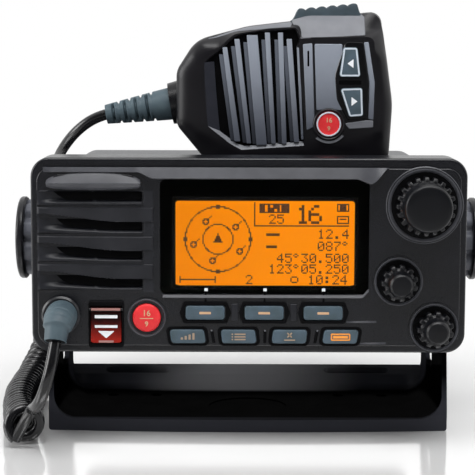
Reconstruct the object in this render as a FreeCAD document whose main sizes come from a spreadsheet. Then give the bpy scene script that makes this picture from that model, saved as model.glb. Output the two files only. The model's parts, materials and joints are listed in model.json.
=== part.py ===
"""Fixed-mount marine VHF radio in its gimbal bracket, with a speaker microphone.

Millimetres. +X is to the right of someone who faces the panel, +Y goes back from
the panel, +Z is up. The origin is on the bracket's underside, below the tilt axis.
"""
import FreeCAD
import Part
import math
import os
import re
from Sketcher import Constraint

Vector = FreeCAD.Vector
Rotation = FreeCAD.Rotation
doc = FreeCAD.newDocument("marine_radio")

# ---------------------------------------------------------------- driving dimensions
SIZES = {
    # tilt axis and clearances
    "axis_height": 81.3, "panel_drop": 0.65, "front_reach": 60.0, "gap": 0.25, "skin": 0.1,
    "hair": 0.02, "spare": 2.0,
    # front panel
    "panel_deep": 22.0, "panel_corner": 8.0, "hollow_corner": 5.0, "panel_wall": 2.4, "seat_wall": 4.1,
    "seat_deep": 16.5, "face_wall": 4.5, "face_step": 1.5, "face_side": 2.6, "face_top": 4.0,
    "face_bottom": 3.0, "face_corner": 6.0, "edge_round": 1.2, "face_round": 0.7,
    "top_margin": 8.65, "soft_gap": 3.45, "row_gap": 2.85, "bottom_margin": 4.55,
    "boot_margin": 4.4, "boot_gap": 3.35, "frame_gap": 0.95, "red_gap": 5.75, "knob_side": 7.15,
    # display
    "window_wide": 85.9, "window_high": 47.5, "window_thick": 1.6, "window_sunk": 0.4,
    "window_corner": 2.5, "lcd_left": 6.0, "lcd_side": 5.8, "lcd_top": 8.45, "lcd_bottom": 3.25,
    "lcd_thick": 3.2, "lcd_border": 2.4, "lcd_corner": 1.2,
    # speaker grille
    "grille_wide": 43.6, "bar_pitch": 11.7, "grille_drop": 14.5, "recess_high": 6.2,
    "recess_deep": 2.4,
    "recess_corner": 1.4, "recess_shift": 1.2, "slot_wide": 17.5, "slot_high": 3.4,
    "slot_rib": 4.0, "slot_shift": 0.6, "slot_rise": 0.5,
    "hump_wide": 34.0, "hump_high": 5.0, "hump_side": 9.1, "hump_drop": 9.3, "hump_proud": 0.6,
    # keys
    "key_proud": 1.3, "key_depth": 6.4, "flange_rim": 1.3, "flange_thick": 1.0, "key_corner": 1.3,
    "key_edge": 0.5, "soft_wide": 16.2, "soft_high": 6.1, "soft_pitch": 24.4, "soft_left": 0.2,
    "surround_wide": 21.6, "surround_high": 8.6, "surround_proud": 0.7, "surround_nose": 2.4,
    "function_wide": 15.0, "function_high": 5.5, "function_pitch": 21.1, "function_left": 0.5,
    "red_radius": 5.9, "red_rise": 14.9, "red_rim": 1.6, "red_edge": 0.9,
    # distress control
    "frame_wide": 14.6, "frame_high": 19.4, "frame_rise": 12.2, "frame_proud": 1.6, "frame_corner": 1.2,
    "frame_edge": 0.4, "neck_side": 1.0, "neck_end": 2.0, "pocket_deep": 0.3,
    "cover_wide": 12.6, "cover_high": 15.0, "cover_thick": 1.4, "cover_proud": 0.5, "cover_corner": 1.0,
    "hinge_radius": 1.1, "hinge_end": 0.2, "pin_radius": 0.5, "pin_end": 0.3, "pin_gap": 0.05,
    "alarm_size": 7.6, "alarm_low": 0.8, "alarm_sunk": 1.5, "alarm_corner": 0.8, "alarm_edge": 0.3,
    # rotary controls
    "channel_drop": 19.2, "channel_radius": 11.8, "channel_cap": 9.6, "channel_long": 15.0,
    "channel_edge": 2.2, "channel_ring": 14.6, "volume_side": 28.1, "volume_rise": 30.3, "squelch_side": 13.1,
    "squelch_rise": 11.0, "small_radius": 6.9, "small_cap": 5.4, "small_long": 12.0, "small_ring": 9.6,
    "ring_wall": 1.0, "ring_proud": 0.6, "ring_deep": 0.3, "knob_gap": 0.6, "push_room": 1.2,
    "skirt_long": 5.0, "cap_edge": 1.4, "cap_taper": 0.5, "tooth_radius": 0.55, "tooth_out": 0.1,
    "shaft_radius": 2.5, "shaft_gap": 0.05, "shaft_sunk": 3.0, "bush_radius": 3.8, "bush_room": 0.6,
    "bush_proud": 1.2, "encoder_size": 12.0, "encoder_deep": 5.4,
    # microphone socket on the panel
    "boot_rise": 16.0, "boot_hole": 4.6, "boot_ring_radius": 8.0, "ring_bevel": 0.8, "spigot_wall": 1.6,
    "boot_ring_long": 2.6, "boot_radius": 6.6, "boot_reach": 6.7, "boot_mouth_wall": 1.9,
    # boards and parts inside the panel
    "board_thick": 1.6, "board_back": 11.6, "board_clear": 2.0, "board_inset": 2.7, "board_low": 1.6,
    "wing_side": 8.0, "wing_low": 7.0, "wing_high": 18.0, "switch_size": 5.0, "switch_room": 1.6,
    "speaker_radius": 20.0, "speaker_side": 27.8, "speaker_drop": 33.3, "speaker_deep": 12.0,
    "speaker_rim": 2.5, "speaker_lip": 2.0, "magnet_deep": 5.0, "cone_deep": 3.2,
    "antenna_wide": 28.0, "antenna_thick": 3.0, "antenna_high": 5.0, "antenna_rise": 0.4,
    # rear chassis
    "chassis_inset": 7.5, "chassis_drop": 5.4, "chassis_back": 78.0, "chassis_wall": 3.2,
    "chassis_corner": 8.0, "flange_deep": 4.0, "gasket_thick": 1.5, "fin_deep": 14.0,
    "fin_gap": 5.2, "fin_pitch": 8.4, "fin_rail": 2.6, "rear_wall": 4.0, "flat_half": 24.0,
    "post_side": 16.0, "post_drop": 13.2, "post_radius": 5.4, "well_radius": 3.1, "well_stop": -18.0,
    "screw_radius": 1.5, "screw_gap": 0.15, "screw_bite": 4.0, "lug_reach": 5.5, "lug_lap": 0.5,
    "screw_head": 2.4, "head_gap": 0.3, "driver_wide": 0.9, "driver_long": 4.4,
    "main_low": 8.0, "main_start": 11.0, "main_end": 3.0, "main_side": 4.6,
    "module_wide": 52.0, "module_deep": 15.0, "module_high": 9.0, "module_x": 34.0,
    # antenna socket: 5/8-24 barrel
    "barrel_radius": 7.94, "barrel_long": 15.0, "barrel_wall": 2.0, "socket_flange": 12.5,
    "socket_thick": 2.5, "socket_bore": 3.9, "antenna_up": 14.65,
    "gland_low": 15.35, "gland_x": 13.0, "gland_radius": 6.5, "gland_step": 1.5, "gland_flange": 2.0,
    "gland_long": 14.0, "gland_bore": 3.0, "gland_wall": 1.4, "gland_thick": 3.0,
    # bracket
    "arm_thick": 2.2, "base_thick": 5.4, "bracket_bend": 10.0, "bracket_edge": 1.2,
    "bracket_front": 30.0, "bracket_bow": 3.5, "bracket_back": 52.0, "ledge_high": 13.0,
    "ledge_front": 29.5, "ledge_toe": 4.0, "toe_up": 1.9, "ledge_mid": 11.5, "mid_up": 4.9,
    "ledge_top": 17.5, "top_up": 6.6, "ledge_wall": 3.0,
    "boss_radius": 17.5, "bolt_radius": 3.0, "slot_x": 52.6, "slot_long": 31.2, "slot_across": 6.5,
    "slot_y": 45.4, "hole_outer_x": 62.5, "hole_inner_x": 42.3, "hole_radius": 2.6, "hole_y": 16.7,
    "dish_radius": 17.5, "dish_deep": 0.3, "dish_y": -6.0,
    "arm_window_front": 10.0, "arm_window_back": 34.0, "arm_window_low": 20.0, "arm_window_step": 26.0,
    "arm_window_top": 58.0, "arm_window_tip": 9.0, "arm_window_corner": 2.5,
    # clamp knobs
    "pad_radius": 14.0, "pad_thick": 2.2, "pad_clear": 0.05, "washer_radius": 12.0, "washer_thick": 1.4,
    "washer_gap": 0.15, "knob_radius": 18.4, "knob_thick": 13.9, "knob_lobes": 9, "lobe_radius": 2.6,
    "knob_seat": 2.6, "knob_flare": 0.6, "knob_disc": 3.0, "knob_side_in": 1.4, "knob_dish": 1.0, "knob_bite": 8.0,
    "bolt_hair": 0.02, "insert_radius": 5.5, "insert_long": 9.0, "insert_wall": 2.2, "bolt_stop": 2.0,
    # microphone
    "mic_x": -30.5, "mic_front": -24.0, "mic_deep": 36.0, "mic_wall": 2.4, "mic_split": 18.0,
    "mic_seam": 0.6, "mic_foot": 25.5, "mic_tilt": 4.7, "mic_round": 5.0, "mic_back_round": 7.5,
    "mic_long": 94.6, "mic_top": 40.9, "mic_toe": 3.2, "mic_lean": 7.2, "mic_heel": 13.2,
    "mic_nape": 0.9, "mic_waist": 1.7, "mic_waist_up": 1.0,
    "mic_neck_low": 8.6, "mic_neck_high": 15.0, "mic_cheek_x": 7.6, "mic_cheek_z": 28.2,
    "mic_shoulder_x": 30.0, "mic_shoulder_drop": 6.7, "nape_round": 7.0, "heel_round": 5.0,
    "toe_round": 6.0, "side_round": 40.0, "cheek_round": 14.0, "neck_round": 9.0,
    "post_west": 12.0, "post_west_up": 8.0, "post_east": 9.6, "post_low": 17.5, "post_south": 26.0,
    "post_north": 30.0,
    "mic_face_sink": 1.6, "mic_grille_x": 32.5, "mic_grille_z": 4.2, "mic_grille_wide": 42.0,
    "mic_grille_high": 48.0, "mic_slot_first": 17.5, "mic_slot_pitch": 5.9, "mic_slot_wide": 2.2,
    "mic_slot_high": 34.0, "mic_slot_rise": 0.3, "mic_key_proud": 1.0, "mic_key_wide": 9.8,
    "mic_key_high": 13.0, "mic_key_gap": 0.25, "mic_key_lap": 0.4, "mic_key_edge": 0.5,
    "mic_up_in": 19.6, "mic_up_z": 17.6, "mic_down_in": 18.6, "mic_down_z": 0.4,
    "mic_red_in": 28.5, "mic_red_z": -9.1, "mic_red_radius": 5.4, "mic_red_lap": 0.2,
    "mic_board_in": 22.0, "mic_board_high": 34.0, "mic_board_low": 12.0, "mic_board_end": 12.6,
    "mic_board_deep": 12.0, "mic_cone_radius": 16.0, "mic_cone_deep": 6.0, "mic_cone_x": 34.0,
    "mic_cone_z": 5.0, "mic_magnet_deep": 2.6,
    "ptt_in": 45.0, "ptt_end": 14.6, "ptt_proud": 4.4, "ptt_deep": 16.0, "ptt_drop": 4.7,
    "ptt_drop_end": 1.3, "ptt_foot": 4.0, "ptt_lip": 1.2, "ptt_dip": 1.0, "ptt_gap": 0.4,
    "ptt_hole_drop": 11.9, "ptt_hole_high": 14.0, "ptt_back": 0.7, "ptt_hole_back": 1.1,
    "mic_boss": 2.6, "mic_screw": 1.2, "mic_screw_head": 2.2, "mic_screw_long": 5.2,
    "mic_head_thick": 1.1, "mic_head_sunk": 1.2,
    "collar_in": 0.6, "collar_up": 1.0, "collar_radius": 9.6, "collar_taper": 0.6,
    "collar_long": 4.6, "mic_boot_long": 29.0,
    "mic_boot_radius": 7.1, "mic_boot_tip": 4.2, "mic_boot_slope": 9.6, "boot_groove": 1.5,
    "boot_groove_deep": 1.0, "stud_radius": 8.0, "stud_long": 7.0, "stud_head": 3.0, "stud_edge": 1.0,
    "stud_root": 2.0, "stud_x": 50.0, "stud_z": 6.0,
    # cord
    "wire_radius": 2.4, "coil_radius": 7.6,
}

# Sizes that follow from the others. The panel is as wide as its three zones side by side and as
# high as its rows, and the chassis, bracket and microphone are set from the panel.
FOLLOWS = {
    "red_well": "red_radius + red_rim + ring_wall",
    "frame_zone": "boot_margin + 2 * boot_ring_radius + boot_gap + frame_wide",
    "speaker_zone": "frame_zone + frame_gap + red_well + red_gap",
    "knob_zone": "knob_side + 2 * (channel_ring + ring_wall) + channel_edge",
    "panel_wide": "speaker_zone + window_wide + knob_zone",
    "key_rows": "soft_gap + surround_high + row_gap + function_high",
    "panel_high": "top_margin + window_high + key_rows + bottom_margin",
    "face_wide": "panel_wide - 2 * face_side",
    "face_high": "panel_high - face_top - face_bottom",
    "face_drop": "(face_top - face_bottom) / 2",
    "window_right": "(speaker_zone - knob_zone) / 2",
    "window_up": "panel_high / 2 - top_margin - window_high / 2",
    "lcd_wide": "window_wide - lcd_left - lcd_side",
    "lcd_high": "window_high - lcd_top - lcd_bottom",
    "lcd_right": "window_right + (lcd_left - lcd_side) / 2",
    "lcd_up": "window_up + (lcd_bottom - lcd_top) / 2",
    "grille_left": "panel_wide / 2 - face_side",
    "grille_top": "panel_high / 2 - grille_drop",
    "hump_x": "panel_wide / 2 - hump_side - hump_wide / 2",
    "hump_up": "panel_high / 2 - hump_drop",
    "soft_x": "window_right - soft_left",
    "soft_up": "window_up - window_high / 2 - soft_gap - surround_high / 2",
    "function_x": "window_right - function_left",
    "function_up": "bottom_margin + function_high / 2 - panel_high / 2",
    "boot_x": "boot_margin + boot_ring_radius - panel_wide / 2",
    "boot_up": "boot_rise - panel_high / 2",
    "frame_x": "boot_x + boot_ring_radius + boot_gap + frame_wide / 2",
    "frame_up": "frame_rise - panel_high / 2",
    "cover_up": "frame_up",
    "red_x": "frame_x + frame_wide / 2 + frame_gap + red_well",
    "red_up": "red_rise - panel_high / 2",
    "channel_x": "panel_wide / 2 - channel_edge - channel_ring - ring_wall",
    "channel_up": "panel_high / 2 - channel_drop",
    "volume_x": "panel_wide / 2 - volume_side",
    "volume_up": "volume_rise - panel_high / 2",
    "squelch_x": "panel_wide / 2 - squelch_side",
    "squelch_up": "squelch_rise - panel_high / 2",
    "speaker_x": "speaker_side - panel_wide / 2",
    "speaker_up": "panel_high / 2 - speaker_drop",
    "board_left": "speaker_x + speaker_radius + board_clear",
    "board_right": "volume_x - encoder_size / 2 - board_clear",
    "board_high": "panel_high - 2 * (seat_wall + board_inset)",
    "chassis_wide": "panel_wide - 2 * chassis_inset",
    "chassis_high": "panel_high - 2 * chassis_drop",
    "post_x": "panel_wide / 2 - post_side",
    "post_up": "panel_high / 2 - post_drop",
    "hollow_back": "chassis_back - fin_deep - rear_wall",
    "arm_outer": "chassis_wide / 2 + pad_thick + 2 * pad_clear + arm_thick",
    "arm_blank": "axis_height + boss_radius + 10 * spare",
    "mic_floor": "axis_height - panel_drop + chassis_high / 2 + skin",
    "mic_up_x": "mic_long - mic_up_in",
    "mic_down_x": "mic_long - mic_down_in",
    "mic_red_x": "mic_long - mic_red_in",
    "ptt_left": "mic_long - ptt_in",
    "ptt_right": "mic_long - ptt_end",
}

sheet = doc.addObject("Spreadsheet::Sheet", "Sizes")
for row, (alias, number) in enumerate(SIZES.items(), start=1):
    sheet.set(f"A{row}", alias)
    sheet.set(f"B{row}", str(number))
    sheet.setAlias(f"B{row}", alias)
doc.recompute()

WORD = re.compile(r"[a-z][a-z_]+[a-z]")
PIECES = {}


def bound(text):
    """A size formula with what follows written out and the sheet's name before each alias."""
    def written(match):
        word = match.group(0)
        if word in FOLLOWS:
            return "(" + bound(FOLLOWS[word]) + ")"
        return "Sizes." + word if word in SIZES else word
    return WORD.sub(written, str(text))


def size(text):
    """The present value of a size formula, in millimetres."""
    return float(sheet.evalExpression(bound(text)))


def place(item, at, turn=None):
    """Put an object at three size formulas, turned first."""
    item.Placement = FreeCAD.Placement(Vector(), turn or Rotation())
    for letter, text in zip("xyz", at):
        item.setExpression("Placement.Base." + letter, bound(text))
    return item


AXES = {"x": Rotation(Vector(0, 1, 0), 90), "y": Rotation(Vector(1, 0, 0), -90), "z": Rotation()}


def rod(name, radius, length, at, axis="y"):
    """A cylinder that starts at a point and runs along +axis."""
    item = doc.addObject("Part::Cylinder", name)
    item.setExpression("Radius", bound(radius))
    item.setExpression("Height", bound(length))
    return place(item, at, AXES[axis])


def block(name, sizes, at):
    """A box centred on a point."""
    item = doc.addObject("Part::Box", name)
    for prop, text in zip(("Length", "Width", "Height"), sizes):
        item.setExpression(prop, bound(text))
    return place(item, [f"({a}) - ({s}) / 2" for a, s in zip(at, sizes)])


def cut(name, base, *tools):
    """A base with every tool taken out of it."""
    item = doc.addObject("Part::Cut", name)
    item.Base = base
    item.Tool = tools[0] if len(tools) == 1 else fuse(name + "_tools", *tools)
    return item


def fuse(name, *items):
    """Solids made one."""
    item = doc.addObject("Part::MultiFuse", name)
    item.Shapes = list(items)
    return item


def group(name, *items):
    """Separate solids in one node."""
    item = doc.addObject("Part::Compound", name)
    item.Links = list(items)
    return item


def common(name, *items):
    """What all the solids share."""
    item = doc.addObject("Part::MultiCommon", name)
    item.Shapes = list(items)
    return item


def piece(label, item):
    """Name a finished sub-part."""
    item.Label = label
    PIECES[label] = item
    return item


def new_sketch(name, plane):
    """A body with an empty sketch on one of its own origin planes."""
    body = doc.addObject("PartDesign::Body", name)
    sketch = body.newObject("Sketcher::SketchObject", name + "_sketch")
    face = [f for f in body.Origin.OriginFeatures if f.Role == plane][0]
    sketch.AttachmentSupport = [(face, "")]
    sketch.MapMode = "FlatFace"
    return body, sketch


def draw_polygon(sketch, points):
    """Close a polygon whose corners are pairs of size formulas from the sketch's origin."""
    spots = [Vector(size(a), size(b), 0) for a, b in points]
    count = len(spots)
    for i in range(count):
        sketch.addGeometry(Part.LineSegment(spots[i], spots[(i + 1) % count]), False)
    for i in range(count):
        sketch.addConstraint(Constraint("Coincident", i, 2, (i + 1) % count, 1))
    for i, (across, up) in enumerate(points):
        for kind, text, number in (("DistanceX", across, spots[i].x), ("DistanceY", up, spots[i].y)):
            index = sketch.addConstraint(Constraint(kind, -1, 1, i, 1, number))
            sketch.setExpression(f"Constraints[{index}]", bound(text))


def edges_where(shape, test):
    """Names of the edges whose vertices all pass a test."""
    names = []
    for i, edge in enumerate(shape.Edges, start=1):
        if edge.Vertexes and all(test(v.Point) for v in edge.Vertexes):
            names.append(f"Edge{i}")
    return names


def edges_along(shape, letter):
    """Names of the straight edges that run along an axis."""
    names = []
    for i, edge in enumerate(shape.Edges, start=1):
        if len(edge.Vertexes) != 2:
            continue
        way = edge.Vertexes[1].Point.sub(edge.Vertexes[0].Point)
        if way.Length > 0 and abs(abs(getattr(way, letter)) - way.Length) < 1e-6:
            names.append(f"Edge{i}")
    return names


def round_edges(body, names, radius):
    """A fillet as the body's next feature."""
    base = body.Tip
    item = body.newObject("PartDesign::Fillet", body.Name + "_round")
    item.Base = (base, names)
    item.setExpression("Radius", bound(radius))
    body.Tip = item
    doc.recompute()


PLANES = {"front": ("XZ_Plane", True, "y"), "side": ("YZ_Plane", False, "x"), "top": ("XY_Plane", False, "z")}


def prism(name, points, length, at, facing="front", turn=None):
    """A polygon carried along +Y (front), +X (side) or +Z (top) from a point."""
    plane, backwards, _ = PLANES[facing]
    body, sketch = new_sketch(name, plane)
    draw_polygon(sketch, points)
    pad = body.newObject("PartDesign::Pad", name + "_pad")
    pad.Profile = sketch
    pad.setExpression("Length", bound(length))
    pad.Reversed = backwards
    body.Tip = pad
    sketch.Visibility = False
    place(body, at, turn)
    doc.recompute()
    return body


def plate(name, wide, high, thick, at, corner=None, edge=None, facing="front", turn=None):
    """A rounded plate whose front face is centred on a point."""
    half = [(f"-({wide}) / 2", f"-({high}) / 2"), (f"({wide}) / 2", f"-({high}) / 2"),
            (f"({wide}) / 2", f"({high}) / 2"), (f"-({wide}) / 2", f"({high}) / 2")]
    body = prism(name, half, thick, at, facing, turn)
    letter = PLANES[facing][2]
    if corner:
        round_edges(body, edges_along(body.Tip.Shape, letter), corner)
    if edge:
        shape = body.Tip.Shape
        ends = [getattr(v.Point, letter) for v in shape.Vertexes]
        front = max(ends) if facing == "top" else min(ends)
        round_edges(body, edges_where(shape, lambda p: abs(getattr(p, letter) - front) < 1e-6), edge)
    return body


def turned(name, points, at, axis="y", turn=None):
    """A profile of (radius, height) pairs spun about an axis, height along +axis."""
    body, sketch = new_sketch(name, "XZ_Plane")
    draw_polygon(sketch, points)
    spin = body.newObject("PartDesign::Revolution", name + "_spin")
    spin.Profile = sketch
    spin.ReferenceAxis = (sketch, ["V_Axis"])
    spin.Angle = 360
    body.Tip = spin
    sketch.Visibility = False
    place(body, at, turn or AXES[axis])
    doc.recompute()
    return body


FRONT = "-front_reach"
UP = "axis_height - panel_drop + "
AXIS = "axis_height"


def shaped(label, shape, at=(0, 0, 0)):
    """A sub-part whose shape is worked out by this file's own code."""
    item = doc.addObject("Part::Feature", label)
    item.Shape = shape
    item.Placement = FreeCAD.Placement(Vector(*at), Rotation())
    return piece(label, item)


def rounded_path(points, radii, closed):
    """Straight runs joined by tangent arcs, as a wire. An end point has no radius."""
    edges = []
    count = len(points)
    last = points[0] if not closed else None
    first = None
    for i in range(count if closed else count - 1):
        if i == 0 and not closed:
            continue
        before, here, after = points[i - 1], points[i], points[(i + 1) % count]
        back, ahead = before.sub(here).normalize(), after.sub(here).normalize()
        half = back.getAngle(ahead) / 2
        reach = radii[i] / math.tan(half)
        start, end = here + back * reach, here + ahead * reach
        centre = here + (back + ahead).normalize() * (radii[i] / math.sin(half))
        middle = centre + (here - centre).normalize() * radii[i]
        if last is not None and last.distanceToPoint(start) > 1e-6:
            edges.append(Part.LineSegment(last, start).toShape())
        edges.append(Part.Arc(start, middle, end).toShape())
        first = first or start
        last = end
    edges.append(Part.LineSegment(last, first if closed else points[-1]).toShape())
    return Part.Wire(edges)


# ---------------------------------------------------------------- radio: front panel
KEY_SPOTS = {}
CORNERS = ((-1, -1), (-1, 1), (1, -1), (1, 1))


def key_holes():
    """Openings in the face for every key, as tools, each key's size plus a gap all round."""
    tools = []
    for label, wide, high, corner, across, up in rectangular_keys():
        KEY_SPOTS[label] = (across, up)
        tools.append(plate(f"hole_{label}", f"{wide} + 2 * gap", f"{high} + 2 * gap", "face_wall + 2 * spare",
                           (across, FRONT + " - spare", UP + up), corner="key_corner"))
    KEY_SPOTS["red_key"] = ("red_x", "red_up")
    tools.append(rod("hole_red", "red_radius + gap", "face_wall + 2 * spare",
                     ("red_x", FRONT + " - spare", UP + "red_up")))
    return tools


def rectangular_keys():
    """Label, width, height, corner, place across and place up of each moulded key."""
    rows = []
    for step, word in ((-1, "left"), (0, "middle"), (1, "right")):
        rows.append((f"soft_key_{word}", "soft_wide", "soft_high", "key_corner",
                     f"soft_x + {step} * soft_pitch", "soft_up"))
    for number in range(4):
        rows.append((f"function_key_{number + 1}", "function_wide", "function_high", "key_corner",
                     f"function_x + {number - 1.5} * function_pitch", "function_up"))
    return rows


def ring(name, radius, across, up):
    """A low raised ring on the face."""
    outer = rod(name + "_outer", f"{radius} + ring_wall", "ring_proud + face_step",
                (across, FRONT + " - ring_proud", UP + up))
    return cut(name, outer, rod(name + "_inner", radius, "ring_proud + ring_deep",
                                (across, FRONT + " - ring_proud - skin", UP + up)))


def surround(step):
    """The pointed frame round one soft key."""
    wide, high, nose = "surround_wide / 2", "surround_high / 2", "surround_nose"
    points = [(f"-{wide}", "0"), (f"-{wide} + {nose}", f"-{high}"), (f"{wide} - {nose}", f"-{high}"),
              (wide, "0"), (f"{wide} - {nose}", high), (f"-{wide} + {nose}", high)]
    return prism(f"surround_{step + 1}", points, "surround_proud + face_step",
                 (f"soft_x + {step} * soft_pitch", FRONT + " - surround_proud", UP + "soft_up"))


def make_front_panel():
    rim = plate("panel_rim", "panel_wide", "panel_high", "panel_deep - face_step",
                ("0", FRONT + " + face_step", UP + "0"), corner="panel_corner", edge="edge_round")
    face = plate("panel_face", "face_wide", "face_high", "face_step + face_wall / 2",
                 ("0", FRONT, UP + "0 - face_drop"), corner="face_corner", edge="face_round")
    hump = plate("gps_hump", "hump_wide", "hump_high", "hump_proud + face_wall / 2",
                 ("-hump_x", FRONT + " - hump_proud", UP + "hump_up"),
                 corner="hump_high / 2 - hair", edge="hump_proud - 2 * skin")
    raised = [rim, face, hump]
    raised += [surround(step) for step in (-1, 0, 1)]
    raised.append(ring("channel_well", "channel_ring", "channel_x", "channel_up"))
    raised.append(ring("volume_well", "small_ring", "volume_x", "volume_up"))
    raised.append(ring("squelch_well", "small_ring", "squelch_x", "squelch_up"))
    raised.append(ring("red_well", "red_radius + red_rim", "red_x", "red_up"))
    solid = fuse("panel_solid", *raised)
    tools = [
        plate("panel_hollow", "panel_wide - 2 * seat_wall", "panel_high - 2 * seat_wall", "panel_deep",
              ("0", FRONT + " + face_wall", UP + "0"), corner="hollow_corner"),
        plate("panel_mouth", "panel_wide - 2 * panel_wall", "panel_high - 2 * panel_wall", "panel_deep",
              ("0", FRONT + " + seat_deep", UP + "0"), corner="panel_corner - panel_wall"),
        plate("window_pocket", "window_wide + 2 * gap", "window_high + 2 * gap",
              "window_sunk + window_thick + spare",
              ("window_right", FRONT + " - spare", UP + "window_up"), corner="window_corner + gap"),
        plate("lcd_opening", "lcd_wide + lcd_border", "lcd_high + lcd_border", "face_wall + 2 * spare",
              ("lcd_right", FRONT + " - spare", UP + "lcd_up")),
        rod("boot_opening", "boot_hole + gap", "face_wall + 2 * spare",
            ("boot_x", FRONT + " - spare", UP + "boot_up")),
        plate("distress_opening", "frame_wide - 2 * neck_side", "frame_high - 2 * neck_end", "face_wall + 2 * spare",
              ("frame_x", FRONT + " - spare", UP + "frame_up")),
    ]
    for word in ("channel", "volume", "squelch"):
        tools.append(rod(f"{word}_hole", "bush_radius + gap / 2", "face_wall + 2 * spare",
                         (f"{word}_x", FRONT + " - spare", UP + f"{word}_up")))
    for level in range(4):
        up = f"grille_top - recess_high / 2 - {level} * bar_pitch + recess_shift"
        tools.append(plate(f"grille_recess_{level}", "grille_wide", "recess_high", "recess_deep + spare",
                           ("grille_wide / 2 - grille_left", FRONT + " - spare", UP + up),
                           corner="recess_corner"))
        for side in (-1, 1):
            across = f"-hump_x + {side} * (slot_wide + slot_rib) / 2 + slot_shift"
            tools.append(plate(f"grille_slot_{level}_{side + 1}", "slot_wide", "slot_high", "face_wall + 2 * spare",
                               (across, FRONT + " - spare", UP + up + " + slot_rise"),
                               corner="slot_high / 2 - hair"))
    tools += key_holes()
    lugs = []
    bites = []
    for side, end in CORNERS:
        wide = "(panel_wide / 2 - seat_wall + lug_lap - post_x + lug_reach)"
        high = "(panel_high / 2 - seat_wall + lug_lap - post_up + lug_reach)"
        lugs.append(block(f"panel_lug_{side + 1}_{end + 1}", (wide, "screw_bite + lug_lap", high),
                          (f"{side} * (post_x - lug_reach + {wide} / 2)",
                           FRONT + " + seat_deep - (screw_bite + lug_lap) / 2",
                           UP + f"{end} * (post_up - lug_reach + {high} / 2)")))
        bites.append(rod(f"lug_bite_{side + 1}_{end + 1}", "screw_radius", "screw_bite + spare",
                         (f"{side} * post_x", FRONT + " + seat_deep - screw_bite - lug_lap",
                          UP + f"{end} * post_up")))
    shell = cut("panel_shell", solid, *tools)
    piece("front_panel", cut("front_panel", fuse("panel_with_lugs", shell, *lugs), *bites))


def make_display():
    piece("display_window", plate("display_window", "window_wide", "window_high", "window_thick",
                                  ("window_right", FRONT + " + window_sunk", UP + "window_up"),
                                  corner="window_corner"))
    back = FRONT + " + window_sunk + window_thick + skin"
    glass = block("lcd_glass", ("lcd_wide", "face_wall - window_thick", "lcd_high"),
                  ("lcd_right", back + " + (face_wall - window_thick) / 2", UP + "lcd_up"))
    frame = plate("lcd_back", "lcd_wide + 3 * lcd_border", "lcd_high + 3 * lcd_border", "lcd_thick",
                  ("lcd_right", FRONT + " + face_wall + skin", UP + "lcd_up"),
                  corner="lcd_corner")
    piece("lcd_panel", fuse("lcd_panel", glass, frame))


def make_keys():
    """Rubber-topped keys: a cap through the face and a flange behind it."""
    for label, wide, high, corner, across, up in rectangular_keys():
        cap = plate(f"{label}_cap", wide, high, "key_depth", (across, FRONT + " - key_proud", UP + up),
                    corner=corner, edge="key_edge")
        back = plate(f"{label}_back", f"{wide} + 2 * flange_rim", high, "flange_thick",
                     (across, FRONT + " + face_wall + skin", UP + up), corner=corner)
        piece(label, fuse(label, cap, back))
    cap = turned("red_cap", [("0", "0"), ("red_radius - red_edge", "0"), ("red_radius", "red_edge"),
                             ("red_radius", "key_depth"), ("0", "key_depth")],
                 ("red_x", FRONT + " - key_proud", UP + "red_up"))
    back = rod("red_back", "red_radius + flange_rim / 2", "flange_thick",
               ("red_x", FRONT + " + face_wall + skin", UP + "red_up"))
    piece("red_key", fuse("red_key", cap, back))


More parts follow.
